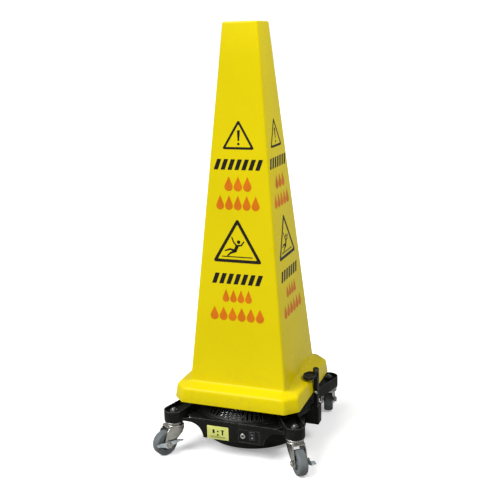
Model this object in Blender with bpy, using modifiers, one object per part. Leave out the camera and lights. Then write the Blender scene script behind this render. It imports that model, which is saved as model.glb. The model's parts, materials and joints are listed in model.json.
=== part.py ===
"""Wet floor safety cone on a battery powered floor dryer base with four braked casters.

The model stands on the floor at z = 0 with its origin under the centre of the base.
The control panel faces -Y and the latch for the cone is on the +X side.
Driving dimensions are in millimetres; the helpers turn them into metres.
"""
import math

import bmesh
import bpy
from mathutils import Matrix, Vector

MM = 0.001
GAP = 0.3                    # clearance between touching pieces

# Cone
CONE_TOP_Z = 959.0
CONE_FOOT_Z = 165.5
CONE_SHOULDER_Z = 160.0
CONE_BOTTOM_Z = 125.0
CONE_TOP_HALF = 39.7
CONE_FOOT_HALF = 113.8
CONE_SHOULDER_HALF = 144.8
CONE_BOTTOM_HALF = 149.3
CONE_BODY_CHAMFER = 3.0
CONE_FLANGE_CHAMFER = 26.5
CONE_WALL = 3.0
CONE_LIP = 6.0
CONE_LIP_DROP = 4.0

# Base ring, deck and apron
DECK_TOP_Z = 124.5
RING_R = 147.0
RING_BOTTOM_Z = 86.0
RING_EDGE_Z = 93.0
SHOULDER_R, SHOULDER_Z = 134.0, 105.2
NECK_R, NECK_Z = 120.0, 121.0
SHELL = 3.0
SLOT_COUNT, SLOT_PITCH, SLOT_WIDTH = 13, 4.3, 5.6
APRON_Y = -148.0
APRON_BOTTOM_Z = 44.0
APRON_TOP_Z = 90.0
APRON_END_Z = 84.0
APRON_END_X = 126.0
ARCH_X, ARCH_R = 107.0, 34.0
CABLE_HOLE_X, CABLE_HOLE_R = 60.0, 7.0

# Arms and caster cups
STEM_X = 145.0
CUP_R = 22.5
CUP_TOP_Z, CUP_BOTTOM_Z, CUP_FLOOR_Z = 104.0, 77.5, 94.0
ARM_LENGTH = 110.0
STEM_R, STEM_TOP_Z = 5.0, 106.0

# Fan side
SHROUD_R, SHROUD_FOOT_R, SHROUD_FOOT_Z = 126.0, 118.0, 14.0
GUARD_Z = 17.0
GUARD_HOOPS = (36.0, 74.0, 112.4)
FAN_R, FAN_HUB_R, FAN_LOW_Z, FAN_HIGH_Z = 103.0, 27.0, 32.0, 54.0
FAN_BLADES = 6
MOTOR_R, MOTOR_LOW_Z, MOTOR_HIGH_Z = 32.0, 60.0, 116.0
SHAFT_R = 4.0

# Battery and electrics
BATTERY_SIZE = (151.0, 65.0, 94.0)
TRAY_THICK = 2.0
BOARD_SIZE = (80.0, 30.0, 1.6)
BOARD_Y = -62.0
LEAD_R = 1.6

# Control panel
PANEL_X0, PANEL_X1, PANEL_Z0, PANEL_Z1 = 14.0, 62.0, 47.0, 76.0
JACK_X, JACK_Z, JACK_R, JACK_BORE_R = 24.0, 61.5, 6.0, 3.0
SWITCH_X, SWITCH_Z, SWITCH_W, SWITCH_H = 46.5, 64.0, 15.0, 21.0
ROCKER_TILT = 8.0
LABEL_X0, LABEL_X1, LABEL_Z0, LABEL_Z1 = -62.0, -10.0, 44.8, 76.8

# Latch
BRACKET_X0, BRACKET_X1, BRACKET_Y0, BRACKET_Y1 = 128.0, 162.0, -12.0, 14.0
BRACKET_Z0, BRACKET_Z1 = 45.0, 88.0
POST_X0, POST_X1, POST_Y0, POST_Y1, POST_TOP_Z = 149.8, 159.5, -12.0, 4.0, 165.0
PIVOT_X, PIVOT_Y, PIVOT_R, PIVOT_TOP_Z = 153.8, -4.0, 3.0, 183.5
TONGUE_X, TONGUE_Y, TONGUE_RX, TONGUE_RY = 142.5, -18.0, 15.0, 21.0
TONGUE_Z0, TONGUE_Z1 = 165.5, 171.5
LATCH_SCREW_X, LATCH_SCREW_Z = 155.4, 126.0

# Casters
WHEEL_R, TREAD_HALF, TRAIL = 28.75, 11.0, 27.4
HUB_R, HUB_HALF = 19.5, 12.0
FORK_IN, FORK_OUT = 12.8, 15.3
CROWN_Z0, CROWN_Z1, RACE_Z = 65.0, 68.5, 71.0
PIN_R = 4.0
BOLT_HOLE_R = PIN_R + GAP
LEVER_IN, LEVER_OUT = 16.3, 18.3
CASTERS = {                  # corner signs, the arm's angle and the trailing wheel's heading
    "front_left": (-1, -1, 74.0, -122.0),
    "front_right": (1, -1, 57.0, -52.5),
    "rear_right": (1, 1, 74.0, 106.0),
    "rear_left": (-1, 1, 57.0, -175.0),
}

RING_STEPS = 72              # segments of the base ring
ROUND = 40                   # segments of the other large turned pieces
SMALL = 16                   # segments of the small turned pieces


# ---------------------------------------------------------------- scene helpers

def clear_scene():
    for obj in list(bpy.data.objects):
        bpy.data.objects.remove(obj, do_unlink=True)


def new_collection(name):
    collection = bpy.data.collections.new(name)
    bpy.context.scene.collection.children.link(collection)
    return collection


def material(name, color, roughness, metallic=0.0):
    mat = bpy.data.materials.new(name)
    mat.use_nodes = True
    shader = mat.node_tree.nodes["Principled BSDF"]
    shader.inputs["Base Color"].default_value = (*color, 1.0)
    shader.inputs["Roughness"].default_value = roughness
    shader.inputs["Metallic"].default_value = metallic
    return mat


def metres(values):
    return [value * MM for value in values]


def put(obj, mat, parent=None, at=(0, 0, 0), turn=(0, 0, 0)):
    """Place an object of the model, give it its material and its parent."""
    obj.location = metres(at)
    obj.rotation_euler = [math.radians(angle) for angle in turn]
    obj.parent = parent
    obj.data.materials.clear()
    obj.data.materials.append(mat)
    obj.data.shade_smooth()
    obj.data.set_sharp_from_angle(angle=math.radians(35))
    return obj


def tool(obj, at=(0, 0, 0), turn=(0, 0, 0)):
    """Place an object that only cuts or joins another one."""
    for collection in list(obj.users_collection):
        collection.objects.unlink(obj)
    cutters.objects.link(obj)
    obj.location = metres(at)
    obj.rotation_euler = [math.radians(angle) for angle in turn]
    obj.hide_render = True
    obj.display_type = "WIRE"
    return obj


def from_bmesh(name, bm):
    bmesh.ops.recalc_face_normals(bm, faces=bm.faces)
    mesh = bpy.data.meshes.new(name)
    bm.to_mesh(mesh)
    bm.free()
    obj = bpy.data.objects.new(name, mesh)
    parts.objects.link(obj)
    return obj


def box(name, low, high, bevel=0.0):
    """A box between two corners, with its edges rounded by bevel."""
    bm = bmesh.new()
    bmesh.ops.create_cube(bm, size=1.0)
    size = [(b - a) * MM for a, b in zip(low, high)]
    middle = Vector([(a + b) / 2 * MM for a, b in zip(low, high)])
    bmesh.ops.scale(bm, vec=size, verts=bm.verts)
    bmesh.ops.translate(bm, vec=middle, verts=bm.verts)
    obj = from_bmesh(name, bm)
    if bevel:
        rounding = obj.modifiers.new("rounded_edges", "BEVEL")
        rounding.width = bevel * MM
        rounding.segments = 2
    return obj


def rod(name, radius, low, high, sides=SMALL):
    """A cylinder or prism on the local Z axis."""
    bm = bmesh.new()
    bmesh.ops.create_cone(bm, cap_ends=True, segments=sides, radius1=radius * MM,
                          radius2=radius * MM, depth=(high - low) * MM)
    bmesh.ops.translate(bm, vec=(0, 0, (low + high) / 2 * MM), verts=bm.verts)
    return from_bmesh(name, bm)


def turned(name, profile, steps=SMALL):
    """A closed (radius, height) profile, outer side from top to bottom, turned about Z."""
    mesh = bpy.data.meshes.new(name)
    points = [(radius * MM, 0.0, height * MM) for radius, height in profile]
    count = len(points)
    edges = [(i, (i + 1) % count) for i in range(count)]
    if profile[0][0] == 0 and profile[-1][0] == 0:
        edges.pop()
    mesh.from_pydata(points, edges, [])
    obj = bpy.data.objects.new(name, mesh)
    parts.objects.link(obj)
    screw = obj.modifiers.new("turn", "SCREW")
    screw.angle = math.tau
    screw.steps = steps
    screw.render_steps = steps
    screw.use_merge_vertices = True
    screw.merge_threshold = 0.00001
    return obj


def plate(name, outline, low, high, face="XY"):
    """A flat outline made solid between two levels of the axis square to it."""
    curve = bpy.data.curves.new(name, "CURVE")
    curve.dimensions = "2D"
    curve.fill_mode = "BOTH"
    curve.extrude = (high - low) / 2 * MM
    spline = curve.splines.new("POLY")
    spline.points.add(len(outline) - 1)
    for point, (u, v) in zip(spline.points, outline):
        point.co = (u * MM, v * MM, 0.0, 1.0)
    spline.use_cyclic_u = True
    middle = (low + high) / 2 * MM
    if face == "XY":
        pose = Matrix.Translation((0, 0, middle))
    else:
        pose = Matrix.Translation((0, middle, 0)) @ Matrix.Rotation(math.pi / 2, 4, "X")
    return curve_to_mesh(name, curve, pose)


def tube(name, points, radius):
    """A lead that follows a smooth line through the points."""
    curve = bpy.data.curves.new(name, "CURVE")
    curve.dimensions = "3D"
    curve.bevel_depth = radius * MM
    curve.bevel_resolution = 1
    curve.use_fill_caps = True
    line = smooth_line(points)
    spline = curve.splines.new("POLY")
    spline.points.add(len(line) - 1)
    for point, place in zip(spline.points, line):
        point.co = (*metres(place), 1.0)
    return curve_to_mesh(name, curve, Matrix.Identity(4))


def smooth_line(points, pieces=4):
    """Catmull-Rom points through a short list of places."""
    places = [Vector(p) for p in points]
    places = [2 * places[0] - places[1]] + places + [2 * places[-1] - places[-2]]
    line = []
    for a, b, c, d in zip(places, places[1:], places[2:], places[3:]):
        for i in range(pieces):
            t = i / pieces
            line.append(0.5 * (2 * b + (c - a) * t + (2 * a - 5 * b + 4 * c - d) * t ** 2
                               + (3 * b - a - 3 * c + d) * t ** 3))
    return line + [places[-2]]


def curve_to_mesh(name, curve, pose):
    holder = bpy.data.objects.new(name, curve)
    parts.objects.link(holder)
    evaluated = holder.evaluated_get(bpy.context.evaluated_depsgraph_get())
    mesh = bpy.data.meshes.new_from_object(evaluated)
    bpy.data.objects.remove(holder, do_unlink=True)
    bm = bmesh.new()
    bm.from_mesh(mesh)
    bmesh.ops.remove_doubles(bm, verts=bm.verts, dist=0.00001)
    bmesh.ops.transform(bm, matrix=pose, verts=bm.verts)
    bpy.data.meshes.remove(mesh)
    return from_bmesh(name, bm)


def combine(obj, other, operation, solver):
    change = obj.modifiers.new(other.name, "BOOLEAN")
    change.operation = operation
    change.object = other
    change.solver = solver


def cut(obj, *cutters_used, solver="EXACT"):
    for cutter in cutters_used:
        combine(obj, cutter, "DIFFERENCE", solver)


def join(obj, *additions, solver="EXACT"):
    for addition in additions:
        combine(obj, addition, "UNION", solver)


def together(name, pieces):
    """One tool object from several separate solids."""
    bm = bmesh.new()
    for piece in pieces:
        bm.from_mesh(piece.data)
        bpy.data.objects.remove(piece, do_unlink=True)
    return from_bmesh(name, bm)


def arc(centre, radius, start, end, count):
    """Points on an arc; angles in degrees, end included."""
    return [(centre[0] + radius * math.cos(math.radians(start + (end - start) * i / count)),
             centre[1] + radius * math.sin(math.radians(start + (end - start) * i / count)))
            for i in range(count + 1)]


# ---------------------------------------------------------------- cone

def square_section(half, chamfer, height):
    """Corner points of a square with cut corners, counter clockwise from the -Y side."""
    inner = half - chamfer
    corners = [(-inner, -half), (inner, -half), (half, -inner), (half, inner),
               (inner, half), (-inner, half), (-half, inner), (-half, -inner)]
    return [Vector((x * MM, y * MM, height * MM)) for x, y in corners]


def make_cone():
    """Square cone moulding: a loft of sections outside, then back down the inside."""
    foot_slope = (CONE_FOOT_HALF - CONE_TOP_HALF) / (CONE_TOP_Z - CONE_FOOT_Z)
    rim_half = CONE_TOP_HALF + foot_slope * CONE_LIP_DROP
    ceiling_z = CONE_TOP_Z - CONE_WALL
    sections = [
        (CONE_BOTTOM_HALF, CONE_FLANGE_CHAMFER, CONE_BOTTOM_Z),
        (CONE_SHOULDER_HALF + 1.2, CONE_FLANGE_CHAMFER, CONE_SHOULDER_Z - 7.0),
        (CONE_SHOULDER_HALF - 1.6, CONE_FLANGE_CHAMFER, CONE_SHOULDER_Z - 1.5),
        (CONE_SHOULDER_HALF - 7.0, CONE_FLANGE_CHAMFER, CONE_SHOULDER_Z + 1.0),
        (CONE_FOOT_HALF + 3.0, CONE_BODY_CHAMFER + 2.0, CONE_FOOT_Z - 1.0),
        (CONE_FOOT_HALF, CONE_BODY_CHAMFER, CONE_FOOT_Z + 2.5),
        (rim_half, CONE_BODY_CHAMFER, CONE_TOP_Z - CONE_LIP_DROP),
        (rim_half - 1.6, CONE_BODY_CHAMFER, CONE_TOP_Z - 1.2),
        (rim_half - 5.0, CONE_BODY_CHAMFER - 1.0, CONE_TOP_Z),
        (rim_half - CONE_WALL - CONE_LIP, CONE_BODY_CHAMFER - 2.0, CONE_TOP_Z - 1.0),
        (rim_half - CONE_WALL - CONE_LIP, CONE_BODY_CHAMFER - 2.0, ceiling_z - 2.0),
        (rim_half - CONE_WALL, CONE_BODY_CHAMFER - 1.5, ceiling_z - 3.0),
        (CONE_FOOT_HALF - CONE_WALL, CONE_BODY_CHAMFER - 1.0, CONE_FOOT_Z),
        (CONE_FOOT_HALF, CONE_BODY_CHAMFER, CONE_FOOT_Z - 1.0 - CONE_WALL),
        (CONE_SHOULDER_HALF - 7.0, CONE_FLANGE_CHAMFER - 2.0, CONE_SHOULDER_Z + 1.0 - CONE_WALL),
        (CONE_SHOULDER_HALF - CONE_WALL, CONE_FLANGE_CHAMFER - 1.2, CONE_SHOULDER_Z - 8.0),
        (CONE_BOTTOM_HALF - CONE_WALL, CONE_FLANGE_CHAMFER - 1.2, CONE_BOTTOM_Z),
    ]
    bm = bmesh.new()
    rings = [[bm.verts.new(p) for p in square_section(*section)] for section in sections]
    for lower, upper in zip(rings, rings[1:] + rings[:1]):
        for i in range(8):
            j = (i + 1) % 8
            bm.faces.new((lower[i], lower[j], upper[j], upper[i]))
    put(from_bmesh("safety_cone", bm), yellow, base)


# ---------------------------------------------------------------- base

def ring_profile(inset):
    """Outer profile of the base ring, drawn in by a wall thickness."""
    return [(0.0, DECK_TOP_Z - inset), (NECK_R - 3.0 - inset / 2, DECK_TOP_Z - inset),
            (NECK_R - inset * 0.9, NECK_Z - inset * 0.9),
            (SHOULDER_R - inset, SHOULDER_Z - inset * 0.45),
            (RING_R - inset, RING_EDGE_Z - inset * 0.45)]


def arm_outline(sign_x, sign_y, angle, radius):
    """Stadium from the caster stem towards the ring, open end cut square."""
    heading = math.degrees(math.atan2(-sign_y * math.sin(math.radians(angle)),
                                      -sign_x * math.cos(math.radians(angle))))
    stem = (sign_x * STEM_X, sign_y * STEM_X)
    outline = arc(stem, radius, heading + 90, heading + 270, 12)
    reach = Vector((math.cos(math.radians(heading)), math.sin(math.radians(heading))))
    for point in (outline[-1], outline[0]):
        outline.append(tuple(Vector(point) + reach * ARM_LENGTH))
    return outline


def slot_cutters():
    """Radial slots through the ring's shoulder, the same on all four sides."""
    slots = []
    for side in range(4):
        for i in range(SLOT_COUNT):
            angle = math.radians(90 * side + SLOT_PITCH * (i - (SLOT_COUNT - 1) / 2))
            slot = box("slot", (SHOULDER_R - 18.0, -SLOT_WIDTH / 2, RING_EDGE_Z + 2.5),
                       (RING_R + 4.0, SLOT_WIDTH / 2, NECK_Z - 3.0))
            slot.data.transform(Matrix.Rotation(angle, 4, "Z"))
            slots.append(slot)
    return tool(together("grille_slots", slots))


def apron_pieces():
    """Front panel with two wheel arches, and the ledge that carries it."""
    right = arc((ARCH_X, APRON_BOTTOM_Z), ARCH_R, 90, 180, 8)
    left = [(-x, z) for x, z in reversed(right)]
    bend = 2 * ARCH_X - APRON_END_X + 8.0
    end = [(APRON_END_X, APRON_END_Z), (APRON_END_X, CUP_BOTTOM_Z + 0.5),
           (APRON_END_X - 6, APRON_BOTTOM_Z + ARCH_R)]
    outline = [(-bend, APRON_TOP_Z), (bend, APRON_TOP_Z)] + end + right + left
    outline += [(-x, z) for x, z in reversed(end)]
    panel = tool(plate("apron_panel", outline, APRON_Y, APRON_Y + SHELL, face="XZ"))
    ledge = [(-bend + 1, APRON_Y + 0.6), (bend - 1, APRON_Y + 0.6), (114, -134), (114, -90),
             (-114, -90), (-114, -134)]
    shelf = tool(plate("apron_ledge", ledge, APRON_TOP_Z - SHELL - 0.4, APRON_TOP_Z - 0.4))
    return panel, shelf


def make_chassis():
    """Deck, grille shoulder, apron, arms and caster cups as one moulding."""
    outer = ring_profile(0.0) + [(RING_R, RING_BOTTOM_Z), (0.0, RING_BOTTOM_Z)]
    chassis = turned("base_chassis", outer, RING_STEPS)

    arms = [(x, y, angle) for x, y, angle, heading in CASTERS.values()]
    blocks = tool(together("arm_blocks", [
        plate("arm", arm_outline(*arm, CUP_R), CUP_BOTTOM_Z, CUP_TOP_Z) for arm in arms]))
    pockets = tool(together("arm_pockets", [
        plate("pocket", arm_outline(*arm, CUP_R - SHELL), CUP_FLOOR_Z, CUP_TOP_Z + 5)
        for arm in arms]))
    cut(blocks, pockets)

    cavity_profile = ring_profile(SHELL) + [
        (RING_R - SHELL, RING_BOTTOM_Z - 20.0), (0.0, RING_BOTTOM_Z - 20.0)]
    cavity = tool(turned("ring_cavity", cavity_profile, RING_STEPS))

    holes = []
    for x, y, angle in arms:
        hole = rod("stem_hole", STEM_R + GAP, CUP_BOTTOM_Z - 5, CUP_FLOOR_Z + 5)
        hole.data.transform(Matrix.Translation(metres((x * STEM_X, y * STEM_X, 0))))
        holes.append(hole)
    holes.append(box("window", (PANEL_X0 - GAP, APRON_Y - 5, PANEL_Z0 - GAP),
                     (PANEL_X1 + GAP, APRON_Y + 8, PANEL_Z1 + GAP)))
    cable_hole = rod("cable_hole", CABLE_HOLE_R, DECK_TOP_Z - 10, DECK_TOP_Z + 5)
    cable_hole.data.transform(Matrix.Translation(metres((CABLE_HOLE_X, BOARD_Y, 0))))
    holes.append(cable_hole)
    openings = tool(together("base_holes", holes))

    panel, shelf = apron_pieces()
    # The arms graze the turned shoulder, where the exact solver loses faces.
    join(chassis, blocks, shelf, solver="MANIFOLD")
    cut(chassis, cavity, solver="MANIFOLD")
    join(chassis, panel, solver="MANIFOLD")
    cut(chassis, slot_cutters(), openings, solver="MANIFOLD")
    put(chassis, black, base)


def make_shroud():
    """Round fan housing below the ring, with the lip it hangs from."""
    top = RING_BOTTOM_Z - GAP
    lip_r = RING_R - SHELL - 2 * GAP
    foot = SHROUD_FOOT_Z
    profile = [(lip_r, top), (lip_r, top - 2.5), (SHROUD_R + 2, top - 2.5),
               (SHROUD_R, top - 5), (SHROUD_R, foot + 35), (SHROUD_R - 1.5, foot + 18),
               (SHROUD_R - 4, foot + 7), (SHROUD_FOOT_R, foot), (SHROUD_FOOT_R - 5, foot),
               (SHROUD_FOOT_R - 5, foot + 4.5), (SHROUD_R - 8, foot + 18),
               (SHROUD_R - SHELL - 1, foot + 35), (SHROUD_R - SHELL - 1, top)]
    put(turned("fan_shroud", profile, ROUND), black, base)


def make_guard():
    """Ring and bar guard across the air outlet."""
    hoops = []
    for radius in GUARD_HOOPS:
        hoops.append(turned("hoop", [(radius, GUARD_Z + 2), (radius, GUARD_Z - 1),
                                     (radius - 3, GUARD_Z - 1), (radius - 3, GUARD_Z + 2)], 24))
    guard = hoops[0]
    guard.name = "outlet_guard"
    for hoop in hoops[1:]:
        tool(hoop)
    bars = []
    for i in range(6):
        bar = box("bar", (0.0, -1.4, GUARD_Z - 0.6), (GUARD_HOOPS[-1] - 1.4, 1.4, GUARD_Z + 1.6))
        bar.data.transform(Matrix.Rotation(math.tau * i / 6, 4, "Z"))
        bars.append(tool(bar))
    boss = tool(rod("guard_boss", 12.0, GUARD_Z - 1.2, GUARD_Z + 2.4, 24))
    join(guard, *hoops[1:], boss, *bars)
    put(guard, black, base)


def make_motor():
    """Motor can with its clamp under the deck."""
    can = [(0, MOTOR_HIGH_Z), (MOTOR_R - 2, MOTOR_HIGH_Z), (MOTOR_R, MOTOR_HIGH_Z - 2),
           (MOTOR_R, MOTOR_LOW_Z + 5), (MOTOR_R - 3, MOTOR_LOW_Z + 2), (12, MOTOR_LOW_Z + 2),
           (11, MOTOR_LOW_Z), (SHAFT_R + GAP, MOTOR_LOW_Z), (SHAFT_R + GAP, MOTOR_LOW_Z + 20),
           (0, MOTOR_LOW_Z + 20)]
    put(turned("fan_motor", can, 24), steel, base)

    under_deck = DECK_TOP_Z - SHELL - GAP
    clamp_z = MOTOR_LOW_Z + 30
    clamp = [(50, under_deck), (50, under_deck - 3), (38, under_deck - 4), (36, clamp_z),
             (MOTOR_R + GAP, clamp_z), (MOTOR_R + GAP, under_deck)]
    put(turned("motor_mount", clamp, 24), black, base)

    hub_z = FAN_LOW_Z + 4
    shaft = rod("motor_shaft", SHAFT_R, hub_z, MOTOR_LOW_Z + 18)
    put(shaft, steel, base)


def make_fan():
    """Axial fan wheel: a capped hub with twisted blades."""
    hub = [(FAN_HUB_R - 2, FAN_HIGH_Z), (FAN_HUB_R, FAN_HIGH_Z - 2), (FAN_HUB_R, FAN_LOW_Z + 4),
           (FAN_HUB_R - 4, FAN_LOW_Z), (SHAFT_R + GAP, FAN_LOW_Z), (SHAFT_R + GAP, FAN_HIGH_Z)]
    fan = turned("fan_impeller", hub, 24)
    for i in range(FAN_BLADES):
        join(fan, tool(fan_blade("blade_%d" % i, math.tau * i / FAN_BLADES)))
    put(fan, fan_grey, base)


def fan_blade(name, angle):
    """One blade as a loft of thin slanted sections from hub to tip."""
    bm = bmesh.new()
    rings = []
    for step in range(5):
        share = step / 4
        radius = FAN_HUB_R - 4 + (FAN_R - FAN_HUB_R + 4) * share
        half_chord = 13.0 + 10.0 * share
        pitch = math.radians(46 - 24 * share)
        middle = (FAN_LOW_Z + FAN_HIGH_Z) / 2
        ring = []
        for along, across in ((-half_chord, 0), (0, 1.2), (half_chord, 0), (0, -1.2)):
            y = along * math.cos(pitch) - across * math.sin(pitch)
            z = along * math.sin(pitch) + across * math.cos(pitch)
            ring.append(bm.verts.new(metres((math.sqrt(radius ** 2 - y ** 2), y, middle + z))))
        rings.append(ring)
    for inner, outer in zip(rings, rings[1:]):
        for i in range(4):
            j = (i + 1) % 4
            bm.faces.new((inner[i], inner[j], outer[j], outer[i]))
    bm.faces.new(rings[0])
    bm.faces.new(rings[-1])
    bmesh.ops.rotate(bm, matrix=Matrix.Rotation(angle, 3, "Z"), verts=bm.verts)
    return from_bmesh(name, bm)


# ---------------------------------------------------------------- battery and electrics

def make_battery():
    half_x, half_y = BATTERY_SIZE[0] / 2, BATTERY_SIZE[1] / 2
    low = DECK_TOP_Z + TRAY_THICK + 2 * GAP
    top = low + BATTERY_SIZE[2]
    tray = box("battery_tray", (-half_x - 6, -half_y - 6, DECK_TOP_Z + GAP),
               (half_x + 6, half_y + 6, DECK_TOP_Z + GAP + 12), 1.0)
    cut(tray, tool(box("tray_inside", (-half_x - 2, -half_y - 2, DECK_TOP_Z + GAP + TRAY_THICK),
                       (half_x + 2, half_y + 2, DECK_TOP_Z + 40))))
    put(tray, black, base)

    battery = box("battery", (-half_x, -half_y, low), (half_x, half_y, top), 2.0)
    terminals = [tool(box("terminal_%d" % i, (x - 4, 18, top - 3), (x + 4, 24, top + 6)))
                 for i, x in enumerate((-62.0, 62.0))]
    join(battery, *terminals)
    put(battery, battery_grey, base)

    foot_z, thick = DECK_TOP_Z + GAP, 1.6
    leg_in, top_in, foot_y = half_y + 2 * GAP, top + GAP, half_y + 22.0
    leg_out, top_out = leg_in + thick, top_in + thick
    side = [(foot_y, foot_z), (foot_y, foot_z + thick), (leg_out, foot_z + thick),
            (leg_out, top_out - 2), (leg_out - 2, top_out)]
    path = side + [(-y, z) for y, z in reversed(side)]
    path += [(-leg_in, foot_z), (-leg_in, top_in), (leg_in, top_in), (leg_in, foot_z)]
    strap = plate("battery_strap", path, -9.0, 9.0, face="XZ")
    strap.data.transform(Matrix.Rotation(math.pi / 2, 4, "Z"))
    slot = tool(box("strap_slot", (-9.5, -half_y - 10, DECK_TOP_Z - 1),
                    (9.5, half_y + 10, DECK_TOP_Z + 40)))
    keep = tool(box("strap_floor", (-12, -half_y - GAP, DECK_TOP_Z - 2),
                    (12, half_y + GAP, DECK_TOP_Z + 50)))
    cut(slot, keep)
    cut(tray, slot)
    put(strap, steel, base)


def make_electrics():
    """Charge board on four posts, and the leads from the battery to it."""
    length, width, thick = BOARD_SIZE
    low = DECK_TOP_Z + 9.0
    board = box("charge_board", (-length / 2, BOARD_Y - width / 2, low),
                (length / 2, BOARD_Y + width / 2, low + thick))
    posts = []
    for x in (-length / 2 + 4, length / 2 - 4):
        for y in (BOARD_Y - width / 2 + 4, BOARD_Y + width / 2 - 4):
            post = rod("post", 2.5, DECK_TOP_Z + GAP, low + 0.8, 8)
            post.data.transform(Matrix.Translation(metres((x, y, 0))))
            posts.append(post)
    relay = box("relay", (-28, BOARD_Y - 8, low + 0.8), (-8, BOARD_Y + 8, low + 16))
    heat_sink = box("heat_sink", (6, BOARD_Y - 9, low + 0.8), (26, BOARD_Y + 9, low + 12))
    join(board, tool(together("board_parts", posts + [relay, heat_sink])))
    put(board, board_green, base)

    top = DECK_TOP_Z + TRAY_THICK + 2 * GAP + BATTERY_SIZE[2]
    for name, side, mat in (("lead_red", 1, red), ("lead_black", -1, black)):
        route = [(side * 62, 15.5, top + 3.4), (side * 62, 6, top + 5), (side * 60, -24, top + 6),
                 (side * 58, -38, top + 1), (side * 57, -44, top - 16), (side * 56, -46, top - 50),
                 (side * 52, -50, low + 22), (side * 44, -56, low + 8),
                 (side * 34, BOARD_Y, low + thick + LEAD_R + GAP)]
        put(tube(name, route, LEAD_R), mat, base)


# ---------------------------------------------------------------- control panel

def make_panel():
    front = APRON_Y + 1.0
    panel = box("control_panel", (PANEL_X0, front, PANEL_Z0), (PANEL_X1, front + 2.0, PANEL_Z1))
    jack_hole = tool(rod("jack_hole", 4.5 + GAP, -10, 10, 24), (JACK_X, front, JACK_Z), (90, 0, 0))
    switch_hole = tool(box("switch_hole",
                           (SWITCH_X - SWITCH_W / 2 + 1, front - 5, SWITCH_Z - SWITCH_H / 2 + 1),
                           (SWITCH_X + SWITCH_W / 2 - 1, front + 8, SWITCH_Z + SWITCH_H / 2 - 1)))
    cut(panel, jack_hole, switch_hole)
    put(panel, black, base)

    # Jack: bezel in front of the panel, barrel through it, socket open to the front.
    bezel = [(0, -10), (JACK_BORE_R, -10), (JACK_BORE_R, 3.0), (JACK_R - 0.6, 3.0), (JACK_R, 2.2),
             (JACK_R, GAP), (4.5, GAP), (4.5, -16), (0, -16)]
    put(turned("charge_jack", bezel, 24), steel, base, (JACK_X, front, JACK_Z), (90, 0, 0))
    nut = rod("jack_nut", 8.0, -5.5, -2.0 - GAP, 6)
    cut(nut, tool(rod("jack_nut_bore", 4.5 + GAP, -20, 5, 24), (JACK_X, front, JACK_Z), (90, 0, 0)))
    put(nut, steel, base, (JACK_X, front, JACK_Z), (90, 0, 0))

    # Switch: frame in front of the panel, box behind it, rocker on its own pivot.
    half_w, half_h = SWITCH_W / 2, SWITCH_H / 2
    switch = box("switch_housing", (SWITCH_X - half_w + 1.4, front - 1, SWITCH_Z - half_h + 1.4),
                 (SWITCH_X + half_w - 1.4, front + 18, SWITCH_Z + half_h - 1.4))
    rim = tool(box("switch_rim", (SWITCH_X - half_w, front - 2.0, SWITCH_Z - half_h),
                   (SWITCH_X + half_w, front - GAP, SWITCH_Z + half_h), 0.5))
    well = tool(box("switch_well", (SWITCH_X - half_w + 2.6, front - 8, SWITCH_Z - half_h + 2.6),
                    (SWITCH_X + half_w - 2.6, front + 9, SWITCH_Z + half_h - 2.6)))
    join(switch, rim)
    cut(switch, well)
    put(switch, switch_black, base)

    rocker_half = half_h - 3.4
    outline = [(-3.0, -rocker_half), (-1.0, -1.0), (-1.0, 1.0), (-3.0, rocker_half),
               (2.5, rocker_half - 0.5), (5.0, 2.5), (5.0, -2.5), (2.5, -rocker_half + 0.5)]
    rocker = plate("switch_rocker", outline, -half_w + 3.0, half_w - 3.0)
    turn = Matrix(((0, 0, 1, 0), (1, 0, 0, 0), (0, 1, 0, 0), (0, 0, 0, 1)))
    rocker.data.transform(Matrix.Rotation(math.radians(ROCKER_TILT), 4, "X") @ turn)
    put(rocker, switch_black, base, (SWITCH_X, front, SWITCH_Z))

    label = box("label_plate", (LABEL_X0, APRON_Y - GAP - 0.8, LABEL_Z0),
                (LABEL_X1, APRON_Y - GAP, LABEL_Z1))
    put(label, label_yellow, base)


# ---------------------------------------------------------------- latch

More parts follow.
